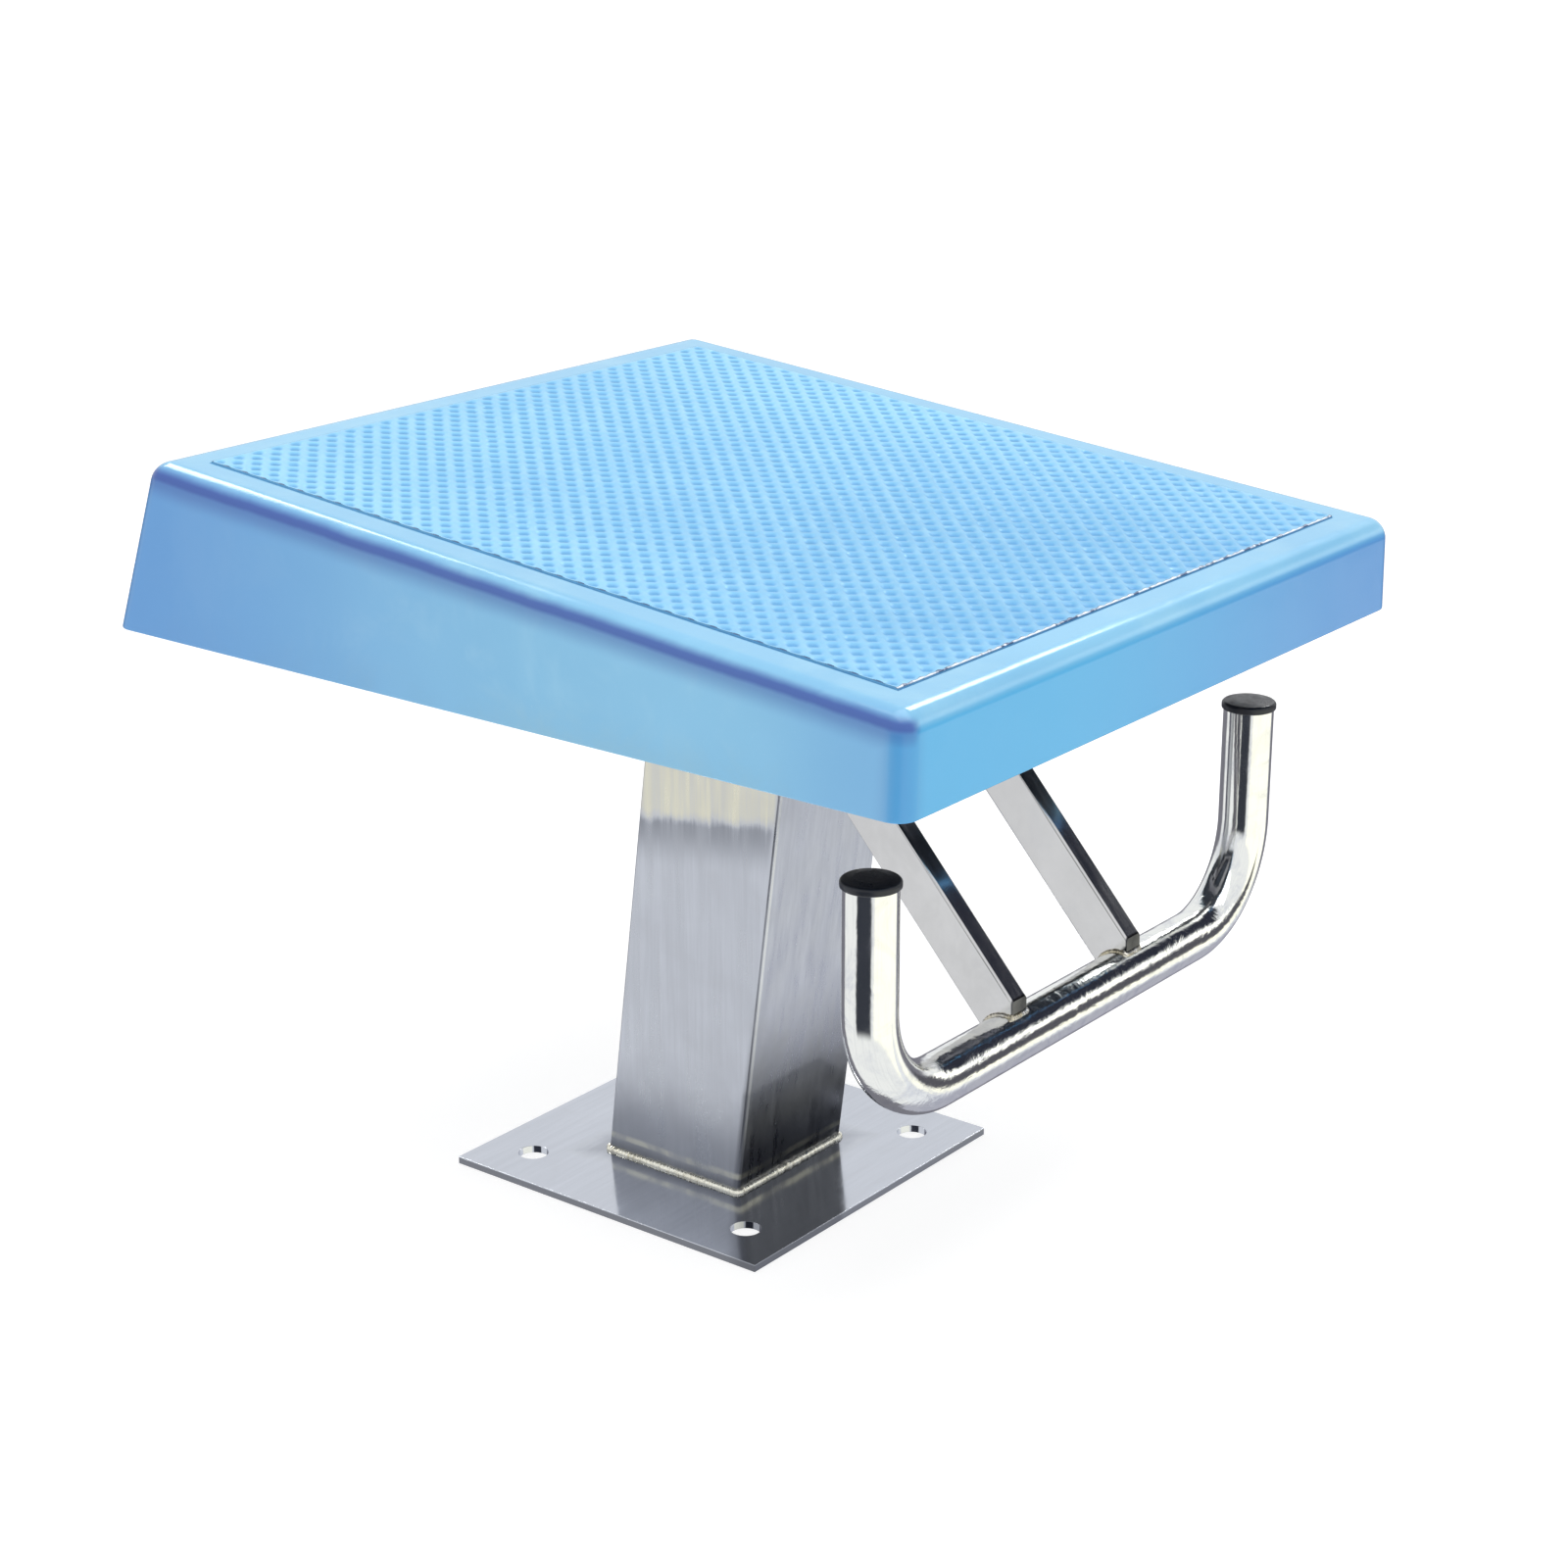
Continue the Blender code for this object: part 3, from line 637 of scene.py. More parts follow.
def tread():
    """The panel's moulded skin: crests rubbed pale in patches, painted shade in the pits with a little
    dirt, a painted light falloff that leaves the front darker and the rear and sides paler, and the
    marked edges with a painted shadow line, broken along the front by a dashed painted highlight."""
    s = Surface("tread", Metallic=0.0, IOR=1.49, Specular_IOR_Level=0.35)
    relief = s.field("Attribute", "Fac", attribute_name="relief")
    x, y, _ = s.xyz()
    drift = s.noise(5.5, 3, 0.55)
    wear = s.noise(46, 4, 0.6, 0.5)
    # painted light falloff: paler towards the rear and the sides, darker at the front
    painted_falloff = s.span(y, -0.28, 0.16) * 0.6 + s.span(abs(x), 0.10, 0.23) * 0.35
    painted_falloff = painted_falloff + s.span(drift, 0.3, 0.7, 0, 0.3)
    crest = s.blend(painted_falloff, TREAD_BLUE, TREAD_CYAN)
    # painted shade in the pits
    colour = s.blend(s.span(relief, -0.10, 0.85), TREAD_PIT_SHADE, crest)
    rubbed = s.span(relief, 0.7, 1.0) * s.span(wear, 0.4, 0.7)
    colour = s.blend(rubbed * 0.30, colour, TREAD_RUBBED)
    dirt = s.span(relief, 0.25, 0.0) * s.span(wear, 0.35, 0.65)
    colour = s.blend(dirt * 0.22, colour, TREAD_DIRT)
    # painted shadow line along the panel's edge, and a dashed painted highlight on its front edge
    colour = s.blend(s.span(relief, EDGE_SHADOW_MARK - 0.08, EDGE_SHADOW_MARK - 0.04), colour, TREAD_EDGE_SHADOW)
    edge_highlight = s.span(relief, 1.10, EDGE_HIGHLIGHT_MARK - 0.25) * s.span(s.noise(150, 2), 0.36, 0.50)
    colour = s.blend(edge_highlight, colour, TREAD_EDGE_HIGHLIGHT)
    values = {"Value": relief, "To Min": 0.50, "To Max": 0.30}
    roughness = s.field("MapRange", "Result", values, interpolation_type="LINEAR")
    grit = s.bump(s.noise(1500, 2, 0.6), 0.22, 0.00015)
    return s.finished(colour, roughness, s.bump(wear, 0.15, 0.0006, grit))


def brushed(name, tone, lines, rough=(0.24, 0.40), bump=0.12, stain_and_reflection=None, contrast=1.0):
    """Satin stainless steel with its brushing along the axis that lines leaves unstretched."""

    def shade(share):
        return tuple(min(1.0, value * (1 + share * contrast)) for value in tone)

    s = Surface(name, Metallic=1.0)
    streaks = s.noise(1, 4, 0.62, 0.15, s.stretched(lines))
    wide = s.noise(1, 3, 0.55, 0.3, s.stretched(tuple(value * 0.16 + 6 for value in lines)))
    cloud = s.noise(26, 5, 0.62, 0.6)
    colour = s.blend(s.span(streaks, 0.28, 0.74), shade(-0.20), shade(0.09))
    colour = s.blend(s.span(wide, 0.35, 0.7, 0, 0.45), colour, shade(-0.16))
    colour = s.blend(s.span(cloud, 0.52, 0.80, 0, 0.30), colour, STEEL_HAZE)
    if stain_and_reflection is not None:
        colour = stain_and_reflection(s, colour, streaks, cloud)
    roughness = s.span(streaks * 0.6 + cloud * 0.4, 0.3, 0.7, *rough)
    dents = s.bump(s.noise(11, 2, 0.4), 0.25, 0.0016)
    return s.finished(colour, roughness, s.bump(streaks, bump, 0.00025, dents))


def post_stain_and_reflection(s, colour, streaks, cloud):
    """Heat tint: thin smoke over the weld all round and a soot band at the foot, with a dark painted
    reflection of the base plate on the face to the water, peaked over the foot; a bright wiped line; and
    higher up, off the face to the water, a darker band with a painted cream reflection above it."""
    x, y, z = s.xyz()
    to_water = s.span(y + z * POST_LEAN, -POST_HALF + 0.006, -POST_HALF + 0.001)
    elsewhere = 1.0 - to_water
    ragged = z - ((cloud - 0.5) * 0.030 + (streaks - 0.5) * 0.030)
    colour = s.blend(s.span(ragged, *SMOKE, 1, 0) * 0.46, colour, STEEL_SMOKE_AND_DARK_REFLECTION)
    # painted reflection: dark band of the base plate on the face to the water
    colour = s.blend(s.span(ragged, *DARK_REFLECTION_BAND, 1, 0) * to_water * 0.72, colour, STEEL_SMOKE_AND_DARK_REFLECTION)
    crown = REFLECTION_PEAK - s.math("MAXIMUM", x - REFLECTION_PEAK_X, 0.0) * REFLECTION_SLOPE
    over_crown = z - (s.noise(140, 4, 0.6) - 0.5) * 0.008 - crown
    # painted reflection: dark peak over the foot on the face to the water
    painted_reflection_peak = s.span(over_crown, -0.004, 0.001, 1, 0) * to_water
    colour = s.blend(painted_reflection_peak * 0.84, colour, STEEL_SOOT_AND_DARK_REFLECTION)
    straight = z - (cloud - 0.5) * 0.004
    colour = s.blend(s.span(straight, *FOOT_BAND, 1, 0) * 0.66, colour, STEEL_SOOT_AND_DARK_REFLECTION)
    wipe_and_reflection = s.between(straight, *WIPED_LINE) * s.span(s.noise(60, 3), 0.35, 0.60, 0.15, 0.60)
    colour = s.blend(wipe_and_reflection, colour, STEEL_STRAW)
    near_top = z + y * TOP_MARKS_TILT - (cloud - 0.5) * 0.012 - (streaks - 0.5) * 0.012
    # darker band near the top
    top_dark_band = s.between(near_top, *TOP_DARK_BAND) * elsewhere * s.span(streaks, 0.3, 0.65, 0.55, 1.0)
    colour = s.blend(top_dark_band * 0.62, colour, STEEL_TOP_DARK)
    # painted reflection: cream band near the top
    cream_reflection = s.span(near_top, *CREAM_REFLECTION) * elsewhere * s.span(streaks, 0.30, 0.65, 1.0, 0.55)
    return s.blend(cream_reflection, colour, STEEL_CREAM_REFLECTION)


def strut_stain(s, colour, streaks, cloud):
    """The burnt nose of each strut, where it is welded to the bar."""
    nose = s.span(s.xyz()[1], STRUT_NOSE + 0.0014, STRUT_NOSE + 0.0003)
    return s.blend(nose * s.span(cloud, 0.3, 0.7, 0.98, 0.85), colour, STEEL_BURNT)


def plate_stain_and_reflection(s, colour, streaks, cloud):
    """Heat bloom round the post's foot with a straw ring, dark cut edges, and a dark painted reflection
    of the post's foot slanting from the post's front towards the near corner."""
    x, y, z = s.xyz()
    outside = s.math("MAXIMUM", abs(x), abs(y))
    reach = outside + (cloud - 0.5) * 0.022
    bloom = s.span(reach, POST_HALF + 0.001, POST_HALF + 0.022, 1, 0)
    colour = s.blend(bloom * 0.35, colour, STEEL_SMOKE_AND_DARK_REFLECTION)
    under_face = s.span(z, PLATE_HIGH.z - 0.0003, PLATE_HIGH.z - 0.0010)
    cut_edge = under_face * s.span(outside, PLATE_HIGH.x - 0.003, PLATE_HIGH.x - 0.001)
    colour = s.blend(cut_edge * 0.80, colour, STEEL_SMOKE_AND_DARK_REFLECTION)
    # painted reflection of the post's dark foot, slanting towards the near corner
    ahead = -POST_HALF - y
    sideways = x + ahead * REFLECTION_SLANT + (cloud - 0.5) * 0.010
    edges = (-POST_HALF - 0.012, -POST_HALF + 0.012, POST_HALF - 0.004, POST_HALF + 0.003)
    wipe_and_reflection = s.between(sideways, *edges) * s.span(ahead, 0.001, 0.005)
    colour = s.blend(wipe_and_reflection * 0.60, colour, STEEL_SMOKE_AND_DARK_REFLECTION)
    ring = s.span(reach, POST_HALF + 0.012, POST_HALF + 0.020) * bloom
    return s.blend(ring * 0.35, colour, STEEL_STRAW)


def polished():
    """Mirror-polished tube: buffing lines round and along it, soft waves, fingerprints."""
    s = Surface("polished_tube", Metallic=1.0)
    grain = s.field("UVMap", "UV", uv_map="grain")
    buffed = s.noise(1, 3, 0.6, 0.0, s.stretched((30, 900, 1), grain))
    waves = s.noise(1, 3, 0.55, 0.8, s.stretched((28, 34, 1), grain))
    smears = s.noise(30, 5, 0.65, 1.5)
    colour = s.blend(s.span(smears, 0.42, 0.75), CHROME_LIGHT, CHROME_SHADE)
    colour = s.blend(s.span(buffed, 0.45, 0.8, 0, 0.22), colour, CHROME_LINE)
    on_bar = s.span(s.xyz()[2], GRIP_LOW.z + 0.048, GRIP_LOW.z + 0.028)
    worked = s.bump(s.noise(85, 4, 0.62, 0.9) * on_bar, 0.32, 0.0012, s.bump(waves, 0.30, 0.0009))
    lines = s.bump(buffed, 0.05, 0.00008, worked)
    return s.finished(colour, s.span(smears, 0.35, 0.75, 0.07, 0.19), lines)


def cap_plastic():
    """Moulded black polyethylene, slightly navy, with scuffs and dust."""
    s = Surface("cap_plastic", Metallic=0.0, IOR=1.5)
    dust = s.noise(120, 5, 0.7, 0.8)
    colour = s.blend(s.span(dust, 0.45, 0.8, 0, 0.6), CAP_BLACK, CAP_BROWN)
    grainy = s.bump(s.noise(1600, 2, 0.5), 0.25, 0.0001)
    return s.finished(colour, s.span(dust, 0.3, 0.75, 0.26, 0.5), grainy)


def weld_metal(name, bright, tarnish=1.0):
    """Weld bead: silver crests, straw and blue heat colours, soot in the ripples."""
    s = Surface(name, Metallic=1.0)
    tint = s.noise(75, 3, 0.6, 0.6)
    soot = s.noise(420, 3, 0.6)
    colour = s.blend(s.span(tint, 0.35, 0.7, 0, tarnish), bright, WELD_STRAW)
    colour = s.blend(s.span(tint, 0.60, 0.80, 0, 0.6 * tarnish), colour, WELD_BLUE)
    colour = s.blend(s.span(soot, 0.55, 0.75, 0, 0.65 * tarnish), colour, WELD_SOOT)
    return s.finished(colour, s.span(soot, 0.35, 0.7, 0.22, 0.5), s.bump(soot, 0.4, 0.0002))


def plated(name, tone):
    """Zinc-plated steel or brass: fine grain, passivate clouds and tarnish in patches."""
    s = Surface(name, Metallic=1.0)
    cloud = s.noise(160, 4, 0.6, 0.5)
    colour = s.blend(s.span(cloud, 0.4, 0.75), tone, tuple(value * 0.66 for value in tone))
    fine = s.bump(s.noise(1300, 2, 0.5), 0.2, 0.00008)
    return s.finished(colour, s.span(cloud, 0.3, 0.7, 0.26, 0.48), fine)


GELCOAT = gelcoat()
LAMINATE = laminate()
TREAD = tread()
POST_STEEL = brushed("post_steel", STEEL, (170, 170, 9), bump=0.04, stain_and_reflection=post_stain_and_reflection, contrast=0.7)
BASE_STEEL = brushed("base_steel", STEEL, (11, 190, 190), (0.06, 0.15), 0.015, plate_stain_and_reflection, 0.3)
STRUT_STEEL = brushed("strut_steel", STEEL_WARM, (260, 30, 30), (0.08, 0.15), 0.03, strut_stain, 0.4)
FRAME_STEEL = brushed("frame_steel", STEEL_DULL, (60, 60, 200), (0.32, 0.5))
CHROME = polished()
CAP = cap_plastic()
FOOT_WELD = weld_metal("foot_weld", WELD_BRIGHT, 0.35)
GREY_WELD = weld_metal("grey_weld", WELD_GREY)
ZINC = plated("zinc", ZINC_TONE)
BRASS = plated("brass", BRASS_TONE)


# ---------------------------------------------------------------- platform


def shell_planes():
    """The shell's outer faces as (normal, offset): top, right, left, front, rear."""
    top = (DECK_NORMAL, DECK_HEIGHT * DECK_NORMAL.z)
    sides = [outer_plane("platform_shell", way) for way in ((1, 0, 0), (-1, 0, 0), (0, -1, 0), (0, 1, 0))]
    return [top, *sides]


def outer_skin():
    """The shell's outer face with rounded edges, open below and reaching past the trim line."""
    top, right, left, front, rear = shell_planes()
    below = (Vector((0, 0, 1)), SHELL_LOW.z - OVERCUT)
    bm = bmesh.new()
    bmesh.ops.create_cube(bm, size=2)
    bottom = [face for face in bm.faces if face.normal.z < -0.5]
    bmesh.ops.delete(bm, geom=bottom, context="FACES_ONLY")
    for vertex in bm.verts:
        x, y, z = vertex.co
        side, end, level = right if x > 0 else left, rear if y > 0 else front, top if z > 0 else below
        vertex.co = meeting_point(side, end, level)
    folded = [edge for edge in bm.edges if edge.is_manifold]
    bmesh.ops.bevel(
        bm, geom=folded, offset=SHELL_EDGE_RADIUS, segments=SHELL_EDGE_STEPS, profile=0.5, affect="EDGES"
    )
    return mesh_from(bm, "platform_skin")


def thickened(mesh):
    """The skin as a shell of the wall's thickness, trimmed level and closed along its rim."""
    work = bpy.data.objects.new("work", mesh)
    bpy.context.scene.collection.objects.link(work)
    mesh.materials.append(GELCOAT)
    mesh.materials.append(LAMINATE)
    wall = work.modifiers.new("wall", "SOLIDIFY")
    wall.thickness = SHELL_WALL
    wall.offset = -1
    wall.use_even_offset = True
    wall.use_rim = False
    wall.material_offset = 1
    graph = bpy.context.evaluated_depsgraph_get()
    made = bpy.data.meshes.new_from_object(work.evaluated_get(graph))
    bpy.data.objects.remove(work)
    bm = bmesh.new()
    bm.from_mesh(made)
    geometry = [*bm.verts, *bm.edges, *bm.faces]
    bmesh.ops.bisect_plane(
        bm, geom=geometry, plane_co=(0, 0, SHELL_LOW.z), plane_no=(0, 0, -1), clear_outer=True
    )
    open_edges = [edge for edge in bm.edges if edge.is_boundary]
    bmesh.ops.bridge_loops(bm, edges=open_edges)
    bm.to_mesh(made)
    bm.free()
    return made


def build_platform():
    """The moulding: bosses under it for the inserts, and a recess on top for the tread."""
    made = thickened(outer_skin())
    bosses, sockets = [], []
    for number in range(1, 7):
        low, high = deck_box(f"shell_insert_{number}")
        place = centred(low, high)
        radius = (high.x - low.x) / 2 + CLEARANCE
        root = -SHELL_WALL / 2
        outline = [
            (0, root),
            (BOSS_RADIUS + 0.003, root),
            (BOSS_RADIUS, low.z + BOSS_FOOT),
            (BOSS_RADIUS, low.z),
            (0, low.z),
        ]
        flare = [tuple(point) for point in rounded(outline, BOSS_FILLET, 4)]
        bosses.append(turned("boss", flare, ROUND_SIDES, place))
        top = high.z + CLEARANCE
        sockets.append(cylinder_mesh("socket", radius, low.z - OVERCUT, top, ROUND_SIDES, place))
    made = combined(made, bosses, "UNION")
    made = combined(made, sockets, "DIFFERENCE")
    low, high = deck_box("anti_slip_panel")
    start = low - Vector((CLEARANCE, CLEARANCE, CLEARANCE))
    recess = box_mesh("recess", start, high + Vector((CLEARANCE, CLEARANCE, OVERCUT)), DECK)
    made = combined(made, [recess], "DIFFERENCE")
    turn = DECK.inverted()
    made = soften(made, LIP_RADIUS, 2, where=lambda point: abs((turn @ point).z) < 0.0001)
    made = soften(made, RIM_RADIUS, 3, where=lambda point: abs(point.z - SHELL_LOW.z) < 0.0001)
    line_with_laminate(made)
    coats = [GELCOAT, LAMINATE]
    add_piece("platform_skin", made, coats, "shell_gelcoat", "platform_shell", sharp=35, flat=True)


def line_with_laminate(mesh):
    """Gives the second material to every face that looks into the shell's hollow."""
    turn = DECK.inverted()
    middle = (SHELL_LOW + SHELL_HIGH) / 2
    sides = shell_planes()[1:]
    for face in mesh.polygons:
        centre = face.center
        under = (turn @ centre).z < -SHELL_WALL + 0.0003
        inward = face.normal.to_2d().dot((centre - middle).to_2d()) < 0
        down = face.normal.z < -0.5
        deep = min(offset - normal.dot(centre) for normal, offset in sides) > SHELL_EDGE_RADIUS
        above_rim = centre.z > SHELL_LOW.z + RIM_RADIUS
        face.material_index = int(under and above_rim and (down or inward or deep))


def tread_height(x, y):
    """Relief from 0 in the pits to 1 on the crests: smooth ridges one way and, in the troughs
    between them, scales across that rise steeply towards the left front corner."""
    pitch = TREAD_PERIOD / math.sqrt(2)

    def ease(t):
        t = np.clip(t, 0, 1)
        return t * t * (3 - 2 * t)

    across = np.abs(((x - y) / math.sqrt(2) / pitch + 0.5) % 1 - 0.5) * 2
    ridge = 1 - ease((across - RIDGE_CREST) / (RIDGE_FOOT - RIDGE_CREST))
    bow = SCALE_BOW * (1 - across) ** 2
    along = ((x + y) / math.sqrt(2) / pitch + 0.5 + bow) % 1
    falling = 1 - ease((along - SCALE_RISE) / (1 - SCALE_RISE))
    scale = np.where(along < SCALE_RISE, ease(along / SCALE_RISE), falling)
    return 1 - (1 - ridge) * (1 - SCALE_SHARE * scale)


def build_tread():
    """The panel as a fine grid with its relief on top, closed by an edge and a flat underside. The relief
    attribute is marked past 1 along the panel's edges, for the material's painted shadow line and, along
    the front, its painted highlight."""
    margin = Vector((PANEL_MARGIN, PANEL_MARGIN, 0))
    low, high = deck_box("anti_slip_panel")
    low, high = low + margin, high - margin
    step = TREAD_PERIOD / TREAD_STEPS
    columns, rows = round((high.x - low.x) / step) + 1, round((high.y - low.y) / step) + 1
    xs, ys = np.linspace(low.x, high.x, columns), np.linspace(low.y, high.y, rows)
    x, y = np.meshgrid(xs, ys)
    relief = tread_height(x, y)
    edge = np.minimum.reduce([x - low.x, high.x - x, y - low.y, high.y - y])
    border = np.clip(edge / PANEL_BORDER, 0, 1)
    relief = 1 - (1 - relief) * border**0.7
    z = high.z - TREAD_RELIEF * (1 - relief)
    z = np.where(edge < 1e-6, z - PANEL_EDGE_DROP, z)
    # marks for the painted shadow line on the edge and the painted highlight on the front
    relief = np.where(edge < 1e-6, EDGE_SHADOW_MARK, relief)
    relief = np.where(y < low.y + 1e-6, EDGE_HIGHLIGHT_MARK, relief)
    top = np.stack([x, y, z], -1).reshape(-1, 3)
    ring = np.r_[
        np.arange(columns - 1),
        np.arange(rows - 1) * columns + columns - 1,
        (rows - 1) * columns + np.arange(columns - 1, 0, -1),
        np.arange(rows - 1, 0, -1) * columns,
    ]
    bottom = top[ring].copy()
    bottom[:, 2] = low.z
    centre = [[(low.x + high.x) / 2, (low.y + high.y) / 2, low.z]]
    points = np.vstack([top, bottom, centre])
    cells = (np.arange(rows - 1)[:, None] * columns + np.arange(columns - 1)).reshape(-1)
    faces = np.stack([cells, cells + 1, cells + columns + 1, cells + columns], -1).tolist()
    count = len(ring)
    here = len(top) + np.arange(count)
    after = np.roll(here, -1)
    faces += np.stack([np.roll(ring, -1), ring, here, after], -1).tolist()
    faces += np.stack([after, here, np.full(count, len(top) + count)], -1).tolist()
    mesh = bpy.data.meshes.new("tread_panel")
    mesh.from_pydata(points.tolist(), [], faces)
    mesh.transform(DECK)
    values = mesh.attributes.new("relief", "FLOAT", "POINT")
    values.data.foreach_set("value", np.r_[relief.reshape(-1), np.zeros(count + 1)].astype(np.float32))
    add_piece("tread_panel", mesh, TREAD, "anti_slip", "anti_slip_panel", sharp=60)


# ---------------------------------------------------------------- post, base and struts


def rounded_rectangle(half_x, half_y, radius, steps=6):
    """Points round a rectangle, anticlockwise from above, as (x, y)."""
    made = []
    for number, (sx, sy) in enumerate(((1, 1), (-1, 1), (-1, -1), (1, -1))):
        centre = (sx * (half_x - radius), sy * (half_y - radius))
        for step in range(steps + 1):
            angle = math.radians(90) * (number + step / steps)
            made.append((centre[0] + radius * math.cos(angle), centre[1] + radius * math.sin(angle)))
    return made


def build_post():
    """The leaning box column with rounded corners, open at both ends."""
    slope = math.tan(DECK_SLOPE)
    top_at_zero = POST_CREST[2] - POST_CREST[1] * slope

    def ring(shape, share):
        made = []
        for x, y in shape:
            top = (top_at_zero + y * slope) / (1 + slope * POST_LEAN)
            z = POST_LOW.z + (top - POST_LOW.z) * share
            made.append((x, y - z * POST_LEAN, z))
        return made

    inside = POST_HALF - POST_WALL
    outer = rounded_rectangle(POST_HALF, POST_HALF, POST_EDGE_RADIUS)
    inner = rounded_rectangle(inside, inside, POST_EDGE_RADIUS / 3)
    shares = np.linspace(0, 1, POST_ROWS)
    rings = [ring(outer, share) for share in shares] + [ring(inner, share) for share in shares[::-1]]
    mesh = loft("post_column", rings, closed=True)
    add_piece("post_column", mesh, POST_STEEL, "post_steel", "post", flat=True)
    return mesh


def build_base():
    """The base plate with round anchor holes and broken edges."""
    openings = [o for o in frame["record"]["physics"]["openings"] if o["name"].startswith("anchor_hole")]
    bottom, top = PLATE_LOW.z - OVERCUT, PLATE_HIGH.z + OVERCUT
    holes = []
    for opening in openings:
        (x0, y0, _), (x1, y1, _) = opening["box_m"]
        place = Matrix.Translation(((x0 + x1) / 2, (y0 + y1) / 2, 0))
        holes.append(cylinder_mesh("hole", ANCHOR_RADIUS, bottom, top, FINE_SIDES, place))
    mesh = combined(box_mesh("base_flange", PLATE_LOW, PLATE_HIGH), holes, "DIFFERENCE")
    mesh = soften(mesh, PLATE_EDGE, 2)
    add_piece("base_flange", mesh, BASE_STEEL, "base_steel", "base_plate", sharp=50, flat=True)


def build_grip():
    """The round tube bent to a U, as rings along its centre line from the right end to the left."""
    half, bar, bend = GRIP_HALF, GRIP_BAR, GRIP_BEND_RADIUS
    path = [(half, z, 0.0) for z in np.linspace(GRIP_HIGH.z, bar + bend, 12)[:-1]]
    for step in range(BEND_STEPS + 1):
        angle = math.radians(90) * step / BEND_STEPS
        path.append((half - bend + bend * math.cos(angle), bar + bend - bend * math.sin(angle), angle))
    flat = [(x, bar, math.radians(90)) for x in np.linspace(half - bend, bend - half, 30)[1:-1]]
    mirror = [(-x, z, math.pi - angle) for x, z, angle in reversed(path)]
    turns = np.linspace(0, 2 * math.pi, GRIP_SIDES, endpoint=False)
    rings = []
    for x, z, angle in path + flat + mirror:
        out = Vector((math.cos(angle), 0, -math.sin(angle)))
        spokes = [out * math.cos(t) + Vector((0, math.sin(t), 0)) for t in turns]
        rings.append([Vector((x, GRIP_Y, z)) + GRIP_RADIUS * spoke for spoke in spokes])
    add_piece("grip_bar", loft("grip_bar", rings), CHROME, "grip_steel", "handle_tube", sharp=50)


def build_caps():
    """Domed plugs in the tube's open ends."""
    top = GRIP_HIGH.z
    for side in ("left", "right"):
        low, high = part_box("handle_cap_" + side)
        centre, radius = (low + high) / 2, (high.x - low.x) / 2
        rise = high.z - top
        outline = [
            (0, rise),
            (radius * 0.55, rise - 0.0002),
            (radius * 0.93, rise - 0.0010),
            (radius, rise - 0.0022),
            (radius, 0.0004),
            (radius - 0.0016, 0.0001),
            (0, 0.0001),
        ]
        profile = [tuple(point) for point in rounded(outline, CAP_EDGE_RADIUS, 5)]
        place = Matrix.Translation((centre.x, centre.y, top))
        mesh = turned("grip_cap_" + side, profile, GRIP_SIDES, place)
        add_piece("grip_cap_" + side, mesh, CAP, "cap_plastic", "handle_cap_" + side, sharp=60)


def build_struts():
    """Rectangular tubes coped over the round bar and ended under the head plate, by side."""
    half = GRIP_HALF
    head_level = deck_box("head_plate")[0].z - CLEARANCE
    made = {}
    for side in ("left", "right"):
        name = "strut_" + side
        low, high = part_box(name)
        along = longest_edge(name)
        across = Vector((1, 0, 0))
        out = across.cross(along).normalized()
        depths = node_points(name) @ np.array(out)
        centre = Vector(((low.x + high.x) / 2, 0, 0)) + out * float(depths.max() + depths.min()) / 2
        ends = node_points(name) @ np.array(along)
        half_depth = float(depths.max() - depths.min()) / 2
        shape = rounded_rectangle((high.x - low.x) / 2, half_depth, STRUT_EDGE_RADIUS)
        rings = [
            [centre + along * t + across * u + out * v for u, v in shape]
            for t in np.linspace(ends.min() - OVERCUT, ends.max() + OVERCUT, 20)
        ]
        mesh = loft("strut_box_" + side, rings)
        turn = Matrix.Translation((0, GRIP_Y, GRIP_BAR)) @ Matrix.Rotation(math.pi / 2, 4, "Y")
        cope = cylinder_mesh("cope", GRIP_RADIUS, -half, half, FINE_SIDES * 2, turn)
        front = box_mesh("front", (-half, low.y - 0.1, GRIP_BAR - 0.1), (half, low.y, GRIP_BAR + 0.1))
        head = box_mesh("head", (-half, -0.4, head_level), (half, 0.4, head_level + 0.2), DECK)
        mesh = largest_part(combined(mesh, [cope, front, head], "DIFFERENCE"))
        add_piece("strut_box_" + side, mesh, STRUT_STEEL, "strut_steel", name, flat=True)
        made[side] = mesh
    return made


def largest_part(mesh):
    """The mesh without the loose pieces that cutting leaves."""
    bm = bmesh.new()
    bm.from_mesh(mesh)
    left, parts = set(bm.verts), []
    while left:
        group, border = set(), {left.pop()}
        while border:
            group |= border
            near = {edge.other_vert(vertex) for vertex in border for edge in vertex.link_edges}
            border = near & left
            left -= border
        parts.append(group)
    keep = max(parts, key=lambda group: max(v.co.z for v in group) - min(v.co.z for v in group))
    bmesh.ops.delete(bm, geom=[v for v in bm.verts if v not in keep], context="VERTS")
    return mesh_from(bm, mesh.name)


# ---------------------------------------------------------------- sub-frame


def build_frame():
    """Head plate, rails and cross members with their edges rounded as on drawn tube."""
    names = ["head_plate", "frame_rail_left", "frame_rail_right"]
    names += ["frame_cross_" + row for row in ("front", "mid_front", "mid_rear", "rear")]
    for name in names:
        mesh = soften(NODES[name].data.copy(), FRAME_EDGE_RADIUS, 2, 60)
        title = name.replace("frame_", "tube_") + "_steel"
        add_piece(title, mesh, FRAME_STEEL, "frame_steel", name, flat=True)


# ---------------------------------------------------------------- fasteners

HEX_TURNS = np.linspace(0, 2 * math.pi, HEX_SAMPLES, endpoint=False)


